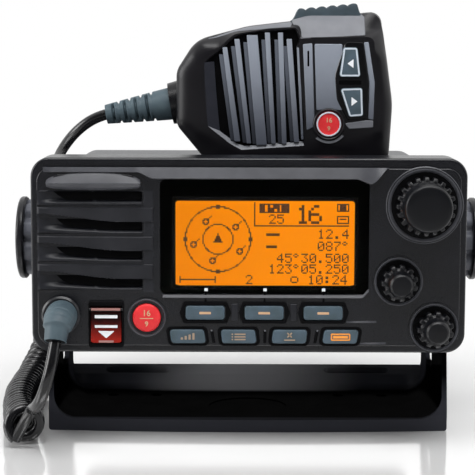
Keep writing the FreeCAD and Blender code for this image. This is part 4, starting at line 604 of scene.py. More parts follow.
# ---------------------------------------------------------------- stage
class RADIO_OT_stage(RadioOperator, bpy.types.Operator):
    """Pale floor, even room light, soft lamps and the camera"""
    bl_idname = "marine_radio.stage"
    bl_label = "Stage"

    def execute(self, context):
        studio = settings().studio
        scene = context.scene
        scene.view_settings.view_transform = "Standard"
        self.add_floor()
        self.add_world(scene, studio)
        lamps = (("lamp_over", studio.key, (0.05, -0.38, 0.92), (0.0, 0.0, 0.08), 0.9, 0.45),
                 ("lamp_left", studio.fill, (-0.85, -0.16, 0.34), (0.0, -0.02, 0.08), 0.45, 0.5),
                 ("lamp_right", studio.fill * 0.12, (0.85, -0.25, 0.45), (0.0, 0.0, 0.08), 0.4, 0.5))
        for name, power, place, aim, wide, high in lamps:
            self.add_lamp(scene, name, power, place, aim, wide, high)
        self.add_camera(scene, studio)
        return {"FINISHED"}

    def add_floor(self):
        """A disc with a polished sheen whose rings grow outwards. It keeps the shadow and the reflection
        near the radio; to the camera it fades to white further out."""
        made, tree, place = new_material("pale_polished_floor")
        dust = put(tree, "TexNoise", {"Vector": place, "Scale": 1 / (60 * MM), "Detail": 3.0})
        gloss = put(tree, "MapRange", {"Value": dust.outputs["Fac"], "To Min": 0.06, "To Max": 0.12})
        matt = put(tree, "BsdfDiffuse", {"Color": linear("#fdfdfd")})
        sheen = put(tree, "BsdfGlossy", {"Roughness": gloss.outputs["Result"]})
        both = put(tree, "MixShader", {0: 0.5, 1: matt.outputs["BSDF"], 2: sheen.outputs["BSDF"]})
        near, far = 0.13, 0.27                       # metres from the middle, where the fade starts and ends
        away = put(tree, "VectorMath", {0: place}, operation="LENGTH")
        fade = put(tree, "MapRange", {"Value": away.outputs["Value"], "From Min": near, "From Max": far},
                   interpolation_type="SMOOTHSTEP")
        seen = put(tree, "LightPath").outputs["Is Camera Ray"]
        share = put(tree, "Math", {0: fade.outputs["Result"], 1: seen}, operation="MULTIPLY")
        white = put(tree, "Emission", {"Color": (1, 1, 1, 1), "Strength": 1.0})
        ground = put(tree, "MixShader", {0: share.outputs["Value"], 1: both.outputs["Shader"],
                                         2: white.outputs["Emission"]})
        FINISHES["floor"] = closed(made, ground)
        radius = np.array([50.0, 200.0, 600.0, 2000.0, 6000.0, 20000.0])[:, None]
        rows, cols, level = len(radius), 64, -0.05
        a = angles_round(cols)
        rings = np.stack([radius * np.cos(a), radius * np.sin(a), np.full((rows, cols), level)], -1)
        floor = piece("floor", (rings.reshape(-1, 3), quads(rows, cols, True) + [list(range(cols))]), "floor")
        work = bmesh.new()
        work.from_mesh(floor.data)
        bmesh.ops.reverse_faces(work, faces=[f for f in work.faces if f.normal.z < 0])
        work.to_mesh(floor.data)
        work.free()

    def add_world(self, scene, studio):
        """White to the camera. Reflections and glass see it white behind the object and overhead, and a
        dim room on the camera's side. Otherwise it is an even, lower light."""
        world = bpy.data.worlds.new("room")
        world.use_nodes = True
        tree = world.node_tree
        tree.nodes.clear()
        seen = put(tree, "LightPath")
        way = put(tree, "SeparateXYZ", {"Vector": put(tree, "TexCoord").outputs["Generated"]})
        dim = 0.07
        behind = put(tree, "MapRange", {"Value": way.outputs["Y"], "From Min": -0.55, "From Max": 0.0,
                                        "To Min": dim, "To Max": 1.0}, interpolation_type="SMOOTHSTEP")
        mirrored = put(tree, "Math", {0: seen.outputs["Is Glossy Ray"],
                                      1: seen.outputs["Is Transmission Ray"]},
                       operation="MAXIMUM")
        shown = put(tree, "MapRange", {"Value": mirrored.outputs["Value"], "To Min": studio.room,
                                       "To Max": behind.outputs["Result"]})
        level = put(tree, "MapRange", {"Value": seen.outputs["Is Camera Ray"],
                                       "To Min": shown.outputs["Result"], "To Max": 1.0})
        light = put(tree, "Background", {"Color": (1, 1, 1, 1), "Strength": level.outputs["Result"]})
        put(tree, "OutputWorld", {"Surface": light.outputs["Background"]})
        scene.world = world

    def add_lamp(self, scene, name, power, place, aim, wide, high):
        data = bpy.data.lights.new(name, "AREA")
        data.shape, data.size, data.size_y, data.energy = "RECTANGLE", wide, high, power
        lamp = bpy.data.objects.new(name, data)
        lamp.location = place
        lamp.rotation_mode = "QUATERNION"
        lamp.rotation_quaternion = (Vector(aim) - Vector(place)).to_track_quat("-Z", "Y")
        scene.collection.objects.link(lamp)

    def add_camera(self, scene, studio):
        """Forward is yawed from +y and tipped down; the sideways and upward ways then roll about it."""
        data = bpy.data.cameras.new("camera")
        data.sensor_width, data.lens = 36.0, studio.lens
        data.clip_start, data.clip_end = 0.05, 60.0
        yaw, down, roll = studio.yaw, studio.down, studio.roll
        ahead = Vector((math.sin(yaw) * math.cos(down), math.cos(yaw) * math.cos(down), -math.sin(down)))
        right = Vector((math.cos(yaw), -math.sin(yaw), 0))
        up = right.cross(ahead)
        side = right * math.cos(roll) + up * math.sin(roll)
        top = up * math.cos(roll) - right * math.sin(roll)
        camera = bpy.data.objects.new("camera", data)
        turn = Matrix((side, top, -ahead)).transposed().to_4x4()
        camera.matrix_world = Matrix.Translation(studio.camera) @ turn
        scene.collection.objects.link(camera)
        scene.camera = camera


# ---------------------------------------------------------------- finishes of the solid model
class RADIO_OT_finishes(RadioOperator, bpy.types.Operator):
    """Every finish, put on the solid model's own parts"""
    bl_idname = "marine_radio.finishes"
    bl_label = "Finishes"

    def execute(self, context):
        c = settings().colours
        # moulded: name, colour, second tone, roughness, grain, relief, patches, depth, spread, shine
        FINISHES.update({
            # ABS and its blends, and polyamide, from spark-eroded moulds: satin, the fine grain drawn to show
            "panel_plastic": moulded("satin_black_abs", c.panel, c.panel_second, 0.3, 0.5, 0.16, 12,
                                     shine=0.42),
            "grille_plastic": moulded("grille_black_abs", "#212227", "#191a1f", 0.42, 0.5, 0.16, 9),
            # the paler grey of the hump, the brow and the rings round the knobs is painted light
            "hump_plastic": moulded("painted_light_grey_abs", "#46474c", "#3c3d42", 0.4, 0.5, 0.14, 9),
            "knob_black": moulded("soft_touch_black", "#08090e", "#06070b", 0.36, 0.6, 0.14, 6),
            "trim_black": moulded("trim_black_abs", "#0d0d0f", "#121215", 0.28, 0.6, 0.1, 6, spread=0.08),
            "gloss_black": moulded("gloss_black_abs", "#08080a", "#0b0b0e", 0.12, 0.9, 0.03, 10, 0.02, 0.03,
                                   0.35),
            "clamp_plastic": moulded("clamp_black_polyamide", "#131316", "#18181c", 0.3, 0.6, 0.12, 7),
            "knob_rubber": moulded("clamp_grey_polyamide", "#55575f", "#484a51", 0.42, 0.5, 0.15, 6),
            # slots, ports and wells: nearly without sheen, so that they look deep; the black of the slots and
            # ports, and of the wells round the knobs and the boot's mouth, is painted shade
            "black_hole": moulded("black_painted_slot_shade", "#040405", "#060607", 0.9, 0.4, 0.2, 5, 0.05, 0.05,
                                  0.05),
            "deep_black": moulded("well_black", "#050506", "#07070a", 0.5, 0.6, 0.1, 5, shine=0.08),
            # silicone and soft elastomer: matt, slightly blotched, and the red one lets a little light in
            "key_rubber": moulded("blue_grey_silicone", c.rubber, "#43525a", 0.55, 0.45, 0.12, 5,
                                  spread=0.08),
            "talk_rubber": moulded("talk_bar_silicone", "#3a464e", "#333f46", 0.5, 0.5, 0.15, 5),
            "boot_rubber": moulded("blue_grey_tpe", "#4a5960", "#414f57", 0.5, 0.5, 0.12, 6),
            "red_rubber": moulded("red_silicone", c.red, "#d92c31", 0.45, 0.5, 0.1, 4, spread=0.08,
                                  **{"Subsurface Weight": 0.15, "Subsurface Radius": (0.003, 0.001, 0.001),
                                     "Subsurface Scale": 0.3}),
            # nitrile seals and pads, dry and matt, and the cord's smooth PVC jacket with a clear sheen
            "gasket_rubber": moulded("nitrile_gasket", "#131313", "#0f0f10", 0.7, 0.6, 0.2, 4, 0.04),
            "pad_rubber": moulded("ribbed_pad_rubber", "#161617", "#111112", 0.75, 0.6, 0.25, 4, 0.05),
            "cable_rubber": moulded("pvc_cable_jacket", "#0b0b0d", "#101013", 0.22, 0.8, 0.08, 6, 0.02, 0.08,
                                    0.55),
            # bracket: injection moulded glass-filled nylon; chassis: epoxy on a casting, with a pebbled skin
            "bracket_plastic": dull_black("polished_black_nylon", "#040405", "#35363c"),
            "chassis_alloy": moulded("black_epoxy_on_cast_alloy", "#2b2c31", "#323338", 0.38, 0.45, 0.35, 10,
                                     0.06, 0.12, 0.35),
            # microphone: black ABS round one grey moulding; the grey's paler top, and the facets' pale grey
            # and blue-black, are painted light and shade
            "mic_plastic": moulded("mic_black_abs", "#121115", "#0e0d11", 0.34, 0.5, 0.12, 10),
            "mic_shade": moulded("mic_recess_side_painted_shade", "#23252e", "#1d1f28", 0.45, 0.5, 0.12, 8),
            "mic_facet": moulded("mic_facet_grey", "#6d6f75", "#66686e", 0.42, 0.5, 0.1, 8),
            "mic_grey": graded("mic_face_grey", "#8a909b", "#4c505a", 124.0, 172.0, 0.4),
            "mic_step": graded("mic_step_grey", "#5d626c", "#2c2f37", 124.0, 172.0, 0.45),
            # window, lit display, and the red cover, whose darker top stands for shade
            "window_lens": clear_acrylic("anti_glare_acrylic", "#ffffff", 0.02, 1.12),
            "lcd_glass": backlit_glass("backlit_display_glass", c.display, c.display_dim, -34.0, 30.0),
            "red_clear": graded("red_polycarbonate", "#1c0606", "#a3261d", 43.5, 57.0, 0.16, 0.08),
            # inside: boards, the antenna's ceramic and worked metals
            "circuit_board": moulded("green_solder_mask", "#0f4a2a", "#0c3f24", 0.35, 0.8, 0.1, 5, shine=0.5),
            "ceramic": moulded("patch_antenna_ceramic", "#cfc6b2", "#c4bba8", 0.5, 0.7, 0.1, 4, shine=0.5),
            "switch_steel": machined("stamped_steel", "#b9bcc0", 0.35),
            "screw_steel": machined("passivated_stainless", "#c6c8cb", 0.28),
            "speaker_steel": machined("zinc_plated_basket", "#9da0a4", 0.38),
            "nickel_brass": machined("nickel_plated_brass", "#c9c4b5", 0.22),
            # pad-printed inks
            "label": printed("peach_key_ink", c.label),
            "faint_label": printed("faint_key_ink", "#a08a74"),
            "orange_label": printed("orange_key_ink", "#f29a3a"),
            "white_label": printed("white_ink", "#eceef2"),
            "pale_line": printed("pale_key_rim", "#c3ccd6"),
            "dull_pink": printed("dull_pink_ink", "#a77872"),
            "dots": printed("dark_display_dots", c.dots, 0.6),
        })
        worn = {"window_lens": "display_window", "lcd_glass": "lcd_panel", "deep_black": "distress_frame",
                "red_rubber": "distress_key", "trim_black": "distress_pin mic_collar",
                "nickel_brass": "antenna_socket clamp_inserts", "cable_rubber": "cable_glands",
                "screw_steel": "channel_shaft volume_shaft squelch_shaft case_screws mic_screws left_bolt"
                               " right_bolt left_washer right_washer",
                "switch_steel": "rotary_encoders key_switches output_module", "ceramic": "gps_antenna",
                "circuit_board": "control_board main_board mic_board", "speaker_steel": "speaker mic_speaker",
                "chassis_alloy": "rear_chassis", "gasket_rubber": "panel_gasket mic_seal",
                "pad_rubber": "tilt_pads", "bracket_plastic": "bracket",
                "mic_plastic": "hanger_stud mic_rear_shell"}
        chosen = {node: finish for finish, nodes in worn.items() for node in nodes.split()}
        for name, node in frame["nodes"].items():
            finish = FINISHES[chosen.get(name, "panel_plastic")]
            if not node.material_slots:
                node.data.materials.append(finish)
            for slot in node.material_slots:
                slot.material = finish
        return {"FINISHED"}


# ---------------------------------------------------------------- cords
class RADIO_OT_cords(RadioOperator, bpy.types.Operator):
    """The panel's lead, the curly cord on the table and behind the radio, and the microphone's lead"""
    bl_idname = "marine_radio.cords"
    bl_label = "Microphone cord"

    front_route = [MOUTH, (-78.9, -84.0, 39.5), (-82.6, -83.5, 27.0), (-87.2, -75.0, 19.4),
                   (-90.0, -63.5, 17.4), (-93.0, -60.0, 16.6)]
    curly_route = [(-93.0, -60.0, 9.5), (-98.0, -38.3, 7.8), (-102.0, -14.0, 7.9), (-104.0, 14.0, 7.8),
                   (-103.5, 40.0, 8.6), (-100.5, 60.0, 14.5), (-95.5, 71.0, 30.0), (-92.5, 70.0, 50.5),
                   (-92.0, 66.0, 70.0), (-92.0, 60.0, 86.0)]
    mic_route = [(-63.07, -6.0, 136.79), (-68.5, -5.8, 135.3), (-77.0, -3.0, 129.0), (-83.8, 6.0, 121.0),
                 (-87.6, 19.0, 115.0), (-90.5, 37.0, 110.0), (-92.0, 55.5, 98.0), (-92.0, 60.0, 86.0)]

    def execute(self, context):
        sizes = settings().sizes
        wire = sizes.wire / MM
        helix, middle = self.helix(sizes.coil / MM, sizes.pitch / MM)
        front = self.joined(self.front_route, helix[0])
        top = self.joined(self.mic_route, helix[-1])
        self.cord("front_lead_wire", front, wire, MOUTH, "front_lead", ("radio", "bracket"),
                  (MOUTH, (-89, -72, 15)), (1.0, 0.0, 0.0))
        self.cord("curly_cord_wire", helix, wire, helix[0], "curly_cord", ("radio", "bracket"),
                  ((-92, 62, 88), (-102, 45, 10)), middle)
        self.cord("mic_lead_wire", top, wire, self.mic_route[0], "mic_lead", ("microphone", "radio"),
                  (self.mic_route[0], (-90.5, 37.0, 110.0)), (0.3, 1.0, 0.2))
        return {"FINISHED"}

    def joined(self, route, end):
        """The route's smooth line, its last point moved to where the next cord begins."""
        return spline_line(list(route[:-1]) + [tuple(end)], 90)

    def helix(self, coil, pitch):
        """Turns round the smooth line of the route: line + r (cos a, sin a) across it, with the angle
        a growing by a turn each pitch, and the radius r wider over the first turns, which lie loose."""
        turns = line_length(spline_line(self.curly_route, 400)) / pitch
        per_turn, table = 20, 2.45                   # points to a turn, and the wire's radius above the table
        count = int(turns * per_turn)
        line = spline_line(self.curly_route, count)
        share = np.linspace(0, 1, count)
        way = unit(np.gradient(line, axis=0))
        first = unit(np.cross(way, (1.0, 0.0, 0.0)))
        second = np.cross(way, first)
        wobble = 0.25 * np.sin(share * 23.0) + 0.2 * np.sin(share * 57.0 + 1.0)
        radius = coil + 2.0 * np.exp(-share * 60.0) + wobble * 0.6
        a = 2 * math.pi * (turns * share + 0.35 * np.exp(-share * 40.0)) - 0.5 * math.pi
        path = line + radius[:, None] * (np.cos(a)[:, None] * first + np.sin(a)[:, None] * second)
        path[:, 2] = np.maximum(path[:, 2], table)
        return path, way

    def cord(self, name, path, wire, start, node, bodies, span, across):
        made = piece(name, tube(path, wire / 2, 12, across), "cable_rubber", None, (node,),
                     80.0)
        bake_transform(made)


# ---------------------------------------------------------------- panel
class RADIO_OT_grille(RadioOperator, bpy.types.Operator):
    """Louvred loudspeaker grille, position-antenna hump, and the brow and steps of the panel"""
    bl_idname = "marine_radio.grille"
    bl_label = "Grille and hump"

    tops = np.array([31.2, 19.25, 7.3, -4.45, -16.2])     # upper edges of the bars
    left, right, high, low = -87.2, -39.3, 26.6, -15.7
    slot_deep, sunk = 2.3, 2.42                           # floor of the slots, and back of the louvres

    def execute(self, context):
        proud = settings().sizes.bar_proud / MM
        piece("grille_louvres", self.louvres(proud), "grille_plastic", "radio", sharp=50)
        piece("grille_slot_shade", self.slot_shade_sheet(), "black_hole", "radio", sharp=50)
        # the hump and the brow are drawn in a paler grey than the panel: painted light
        piece("antenna_hump", self.hump(), "hump_plastic", "radio", sharp=30)
        piece("panel_brow", self.brow(), "hump_plastic", "radio", sharp=30)
        return {"FINISHED"}

    def low_edge(self, x, upper):
        """Lower edge of the bar whose upper edge is given: bars grow from 2.4 mm high to 5.6 mm."""
        if upper > 30:
            return np.full(np.shape(x), 26.3)
        return upper - 2.3 - 3.3 * smooth(-88, -52, x)

    def louvres(self, proud):
        """Height out of the face as a function of x and z. Going down from a bar's lower edge: a drop
        to the dark slots, a floor that rises again to a ledge, a thin groove, and the next bar's edge.
        Slots shallow out at the left end."""
        x = np.linspace(self.left, self.right, 170)
        z = np.linspace(self.high, self.low, 230)
        gx, gz = np.meshgrid(x, z)
        end_left, end_right = smooth(-88.2, -76.5, gx), 1 - smooth(-44.4, -43.0, gx)
        out = np.full(gx.shape, 0.05)
        for upper, lower in zip(self.tops[:-1], self.tops[1:]):
            edge = self.low_edge(gx, upper)
            inside = (gz <= edge) & (gz >= lower)
            t = (edge - gz) / (edge - lower)
            floor = -self.slot_deep + 2.2 * smooth(0.45, 0.74, t)
            wall = 1 - smooth(0.0, 0.05, t)
            slot = floor * (1 - wall) + proud * wall
            rib = np.exp(-((gx + 63.6 - 2.0 * (t - 0.4)) / 0.9) ** 2) * (1 - smooth(0.4, 0.7, t))
            slot = slot + rib * 1.2 * (slot < -0.2)
            slot = (0.12 + 0.5 * t) * (1 - end_left) + slot * end_left
            slot = 0.12 * (1 - end_right) + slot * end_right
            groove = np.exp(-((t - 0.885) / 0.05) ** 4)
            slot = slot - 1.5 * groove * end_right * smooth(-87.5, -86.0, gx)
            lip = smooth(0.95, 1.0, t)
            slot = slot * (1 - lip) + (proud if lower > -16 else 0.05) * lip
            out = np.where(inside, slot, out)
        for upper in self.tops[1:-1]:
            bar = (gz < upper) & (gz > self.low_edge(gx, upper))
            lean = proud * (1 - 0.25 * smooth(0, 5.6, upper - gz))
            out = np.where(bar, lean, out)
        rim = smooth(self.left, self.left + 0.9, gx) * (1 - smooth(self.right - 0.7, self.right, gx))
        rim = rim * smooth(self.low, self.low + 0.7, gz) * (1 - smooth(self.high - 0.5, self.high, gz))
        return relief(x, z + AXIS, FACE - (0.04 + (out - 0.04) * rim), FACE + self.sunk)

    def slot_shade_sheet(self):
        """A black sheet in the slots, painted shade of their depth: between a bar's lower edge and the ledge,
        with rounded ends.
        """
        start, end = -80.5, -43.2
        x = np.linspace(start, end, 60)
        taper = smooth(start, start + 6.5, x) * (1 - smooth(end - 1.4, end, x))
        shapes = []
        for upper, lower in zip(self.tops[:-1], self.tops[1:]):
            edge = self.low_edge(x, upper)
            high, low = edge - 0.1, edge - 0.15 - (edge - lower) * 0.5 * np.sqrt(taper)
            outline = np.concatenate([np.column_stack([x, low]), np.column_stack([x, high])[::-1]])
            shapes.append(slab(outline + np.array([0, AXIS]), [(0, FACE + 1.6), (0, FACE + 0.75)]))
        return shapes

    def hump(self):
        """A lens-shaped bulge: height rises from the arched outline to a level crease, so that the
        upper part looks up and the lower part looks down."""
        left, wide, crease, share = -83.6, 39.4, 29.5, 0.66
        u = np.linspace(0, 1, 90)
        x = left + wide * u
        arch = np.sqrt(np.clip(1 - (2 * u - 1) ** 2, 0, 1))
        top = 29.7 + 4.5 * arch ** 0.9
        low = 29.2 - 2.6 * arch ** 0.5
        v = np.linspace(0, 1, 28)[:, None]
        above = v < share
        z = np.where(above, top + (crease - top) * v / share,
                     crease + (low - crease) * (v - share) / (1 - share))
        lift = np.where(above, v / share, (1 - v) / (1 - share))
        out = 0.03 + 3.0 * arch ** 0.45 * lift ** np.where(above, 0.85, 0.6)
        grid = np.stack([np.broadcast_to(x, z.shape), FACE - out, z + AXIS], -1)
        return skin(grid, FACE + 0.4)

    def brow(self):
        """Ledges whose fronts lean out as they come down, so that they take the light from above:
        over the hump and the window, under the window, and two short steps right of the keys."""
        x = np.linspace(-84.5, 57.5, 260)
        low = 34.0 - 2.7 * smooth(-46, -39, x) - 1.9 * smooth(44, 50, x)
        low = low + (35.7 - low) * smooth(50.5, 57.5, x)
        proud = 2.3 * smooth(-85, -80, x) * (1 - smooth(53.5, 57.5, x)) * (0.35 + 0.65 * smooth(-48, -38, x))
        under = np.linspace(-35.5, 49.6, 120)
        curl = 2.6 * smooth(46.0, 49.6, under) ** 2
        shapes = [ramp_strip(x, 36.1, low, proud),
                  ramp_strip(under, -16.7 + curl, -17.9 + curl, 0.8)]
        for start, end, level in ((40.5, 53.0, -27.6), (46.0, 57.0, -36.6)):
            line = np.linspace(start, end, 40)
            share = smooth(start, start + 4, line) * (1 - smooth(end - 4, end, line))
            shapes.append(ramp_strip(line, level + 0.02 * (line - start), level - 0.7, 0.45 * share))
        return shapes


class RADIO_OT_display(RadioOperator, bpy.types.Operator):
    """Printed border, index marks and the dots of the display"""
    bl_idname = "marine_radio.display"
    bl_label = "Display"

    left, top, across, down = -30.4, 22.8, 132, 64
    pitch = 0.5606

    def execute(self, context):
        outer = box_outline(6.55, 7.55 + AXIS, 85.6, 47.2, 2.3)
        inner = box_outline(6.7, 4.6 + AXIS, 73.9, 35.2, 0.3)
        border = window_frame(outer, inner, (6.6, 5.0 + AXIS), GLASS_FRONT - 0.01, GLASS_FRONT - 0.07)
        piece("window_border", border, "deep_black", "radio")
        piece("display_dots", self.dots(), "dots", "radio")
        marks = [slab(box_outline(x, -14.6 + AXIS, 1.4, 1.3, 0.2), [(0, LENS_FRONT), (0, LENS_FRONT - 0.06)])
                 for x in (-17.6, 6.8, 31.0)]
        piece("index_marks", marks, "white_label", "radio")
        return {"FINISHED"}

    def dots(self):
        """Every lit dot of a 132 x 64 grid as a small tile. Circles are the dots whose distance from
        a centre rounds to the radius; lines and figures are written into the same grid."""
        on = np.zeros((self.down, self.across), bool)
        r, c = np.mgrid[0:self.down, 0:self.across]
        cx, cy, reach = 31, 29, 24
        for radius in (11.0, reach):
            on |= np.abs(np.hypot(c - cx, r - cy) - radius) < 0.55
        tip, foot = 25, 31
        on |= (np.abs(c - cx) <= (r - tip) * 0.5) & (r >= tip) & (r <= foot)
        for tx, ty in ((22, 16), (44, 20), (27, 45), (13, 33), (47, 38)):
            on |= np.abs(np.hypot(c - tx, r - ty) - 1.8) < 0.6
            on |= (np.abs((c - tx) + (r - ty)) < 0.7) & (c > tx + 1) & (c < tx + 5)
        for a in np.arange(4) * math.pi / 2:
            on |= np.hypot(c - cx - reach * math.cos(a), r - cy - reach * math.sin(a)) < 1.6
        # boxes as top, bottom, left and right: rules, a badge and two small signs; their gaps; a scale bar
        for lit, boxes in ((True, ((2, 20, 58, 59), (19, 20, 58, 128), (3, 10, 62, 84), (3, 9, 119, 128),
                                   (12, 18, 119, 128))),
                           (False, ((4, 9, 66, 68), (4, 6, 70, 72), (7, 9, 73, 75), (4, 9, 77, 78),
                                    (4, 8, 120, 121), (4, 8, 126, 127), (13, 17, 120, 127))),
                           (True, ((14, 15, 121, 126), (59, 60, 3, 30), (57, 62, 3, 4), (57, 62, 29, 30),
                                   (25, 27, 67, 77), (34, 36, 67, 75)))):
            for upper, lower, left, right in boxes:
                on[upper:lower, left:right] = lit
        for text, left, upper, size in (("25", 69, 11, 1), ("16", 89, 4, 2), ("12.4", 105, 22, 1),
                                        ("087%", 105, 31, 1), ("45%30.500", 75, 40, 1),
                                        ("123%05.250", 69, 48, 1), ("10:24", 98, 56, 1), ("2", 52, 56, 1)):
            self.write(on, text, left, upper, size)
        on[57:62, 84:92] |= np.abs(np.hypot(c - 87.5, r - 59.0) - 2.5)[57:62, 84:92] < 0.6
        rows, cols = np.nonzero(on)
        x = self.left + (cols + 0.5) * self.pitch
        z = self.top - (rows + 0.5) * self.pitch + AXIS
        half = 0.27
        corner = np.array([(-half, -half), (half, -half), (half, half), (-half, half)])
        flat = np.stack([x[:, None] + corner[:, 0], z[:, None] + corner[:, 1]], -1)
        deep = np.full(flat.shape[:2] + (1,), GLASS_FRONT)
        front = np.concatenate([flat[..., :1], deep - 0.04, flat[..., 1:]], -1)
        rear = np.concatenate([flat[..., :1], deep, flat[..., 1:]], -1)
        points = np.concatenate([front, rear], 1).reshape(-1, 3)
        cube = np.array([(0, 1, 2, 3), (7, 6, 5, 4), (0, 4, 5, 1), (1, 5, 6, 2), (2, 6, 7, 3), (3, 7, 4, 0)])
        faces = (np.arange(len(x))[:, None, None] * 8 + cube[None]).reshape(-1, 4).tolist()
        return points, faces

    figures = {"0": "0e11131519110e", "1": "040c040404040e", "2": "0e11010204081f", "3": "1f02040201110e",
               "4": "02060a121f0202", "5": "1f101e0101110e", "6": "0608101e11110e", "7": "1f010204080808",
               "8": "0e11110e11110e", "9": "0e11110f01020c", ".": "00000000000c0c", ":": "000c0c000c0c00",
               "%": "0c120c00000000"}

    def write(self, on, text, left, top, size):
        """Figures of 5 x 7 dots, each row of dots held as the bits of a number. Double figures are
        drawn together a little, so that their strokes are two dots wide."""
        for k, mark in enumerate(text):
            code = self.figures[mark]
            lines = np.array([int(code[2 * i:2 * i + 2], 16) for i in range(7)])
            bits = (lines[:, None] >> np.arange(4, -1, -1)[None, :]) & 1
            bits = np.kron(bits, np.ones((size, size), int)).astype(bool)
            start = left + k * (6 * size - (3 if size > 1 else 0))
            room = on[top:top + bits.shape[0], start:start + bits.shape[1]]
            room |= bits[:room.shape[0], :room.shape[1]]


class RADIO_OT_keys(RadioOperator, bpy.types.Operator):
    """Silicone keys with printed marks, their surrounds and the marks between them"""
    bl_idname = "marine_radio.keys"
    bl_label = "Keys"

    def execute(self, context):
        up, low = -24.05 + AXIS, -34.0 + AXIS
        black, ribs, dots = [], [], []
        for word, x in (("left", -17.95), ("middle", 6.45), ("right", 30.85)):
            self.cap(f"soft_key_cap_{word}", box_outline(x, up, 16.2, 5.8, 1.3), f"soft_{word}",
                     f"soft_key_{word}")
            under = KEY_FRONT - 0.15
            sign = slab(box_outline(x, up, 4.8, 1.0, 0.2), [(0, under), (0, under - INK)])
            piece(f"soft_key_mark_{word}", sign, "label", f"soft_{word}")
            half, point, high = 9.0, 10.7, 4.5
            corners = [(x - point, up), (x - half, up - high), (x + half, up - high), (x + point, up),
                       (x + half, up + high), (x - half, up + high)]
            black.append(window_frame(rounded(corners, 0.9), box_outline(x, up, 16.9, 6.5, 1.4), (x, up),
                                      SUNK, FACE - 0.86, 0.25))
            black.append(slab(box_outline(x + 0.15, up + 6.4, 0.8, 5.0, 0.3), [(0, SUNK), (0, FACE - 0.08)]))
        for x in (-5.75, 18.65):
            ribs.append(cushion(box_outline(x, up + 0.2, 3.0, 7.2, 0.6), SUNK, FACE - 0.75, 0.55, 0.1))
        for number, lean in enumerate((-1.0, -0.7, 0.7, 1.0)):
            x = 6.45 + (number - 1.5) * 21.1
            body, inks = f"function_{number + 1}", ("faint_label",) * 3 + ("orange_label",)
            self.cap(f"function_key_cap_{number + 1}", box_outline(x, low, 14.3, 5.7, 1.3, lean), body,
                     f"function_key_{number + 1}")
            piece(f"function_key_mark_{number + 1}", self.mark(number, x, low), inks[number], body)
            black.append(window_frame(box_outline(x, low, 17.2, 8.0, 2.0, lean * 1.3),
                                      box_outline(x, low, 14.9, 6.3, 1.5, lean), (x, low), SUNK, FACE - 0.5,
                                      0.25))
        for x, lean in ((-14.8, -1.0), (6.8, 0.0), (28.0, 1.0)):
            black.append(slab(box_outline(x, low - 0.2, 1.3, 5.4, 0.3, lean),
                              [(0, SUNK), (0, FACE - 0.3), (0.3, FACE - 0.5)]))
            dots.append(slab(box_outline(x + lean / 2, low + 2.4, 0.7, 0.6, 0.15),
                             [(0, FACE - 0.1), (0, FACE - 0.6)]))
        piece("key_surrounds", black, "deep_black", "radio", sharp=30)
        piece("key_ribs", ribs, "grille_plastic", "radio")
        piece("key_index_dots", dots, "mic_facet", "radio")
        self.red_key()
        return {"FINISHED"}

    def cap(self, name, outline, body, node):
        """A key's cap, which stands in for the solid key and reaches 5 mm behind the face."""
        piece(name, cushion(outline, FACE + 5.0, KEY_FRONT, 0.55, 0.25), "key_rubber", body,
              (node,))

    def mark(self, number, x, z):
        """Plain signs: rising bars, a list, a cross with a wave, and a filled badge."""
        under = KEY_FRONT - 0.2

        def bar(a, b, wide, high):
            return slab(box_outline(x + a, z + b, wide, high, 0.12, 0, 3), [(0, under), (0, under - INK)])

        if number == 0:
            return [bar(-2.4 + 1.6 * k, -0.75 + 0.3 * k, 0.9, 0.9 + 0.6 * k) for k in range(4)]
        if number == 1:
            rows = [1.1 - 1.1 * k for k in range(3)]
            return [bar(0.6, row, 4.6, 0.55) for row in rows] + [bar(-2.6, row, 0.6, 0.6) for row in rows]
        if number == 2:
            cross = [turned_about(bar(0, 0.75, 2.6, 0.55), (x, z + 0.75), turn) for turn in (45, -45)]
            return cross + [bar(0, -1.3, 4.6, 0.5)]
        outline, inner = box_outline(x, z, 8.0, 3.0, 0.5), box_outline(x, z, 6.9, 1.9, 0.2)
        return [flat_ring(outline, inner, under, under - INK), bar(0, 0, 6.1, 1.15)]

    def red_key(self):
        """A domed round cap with two numbers and a line between them."""
        x, z = RED_KEY[0], RED_KEY[1] + AXIS
        tip = FACE - 1.4
        profile = [(5.85, 6.0), (5.85, 1.0), (5.7, 0.45), (5.3, 0.12), (4.6, -0.05), (3.2, -0.2),
                   (1.6, -0.28), (0.4, -0.3)]
        piece("red_key_cap", lathe(profile, (x, tip, z), (0, 1, 0)), "red_rubber", "call",
              ("red_key",))
        front, thick = tip - 0.33, 0.1
        signs = [numerals("16", 3.4, x, z + 2.0, front, thick, 0.06),
                 numerals("9", 3.0, x, z - 2.5, front, thick, 0.06),
                 slab(box_outline(x, z - 0.1, 5.6, 0.35, 0.1, 0, 3), [(0, front), (0, front + thick)])]
        piece("red_key_figures", signs, "label", "call")


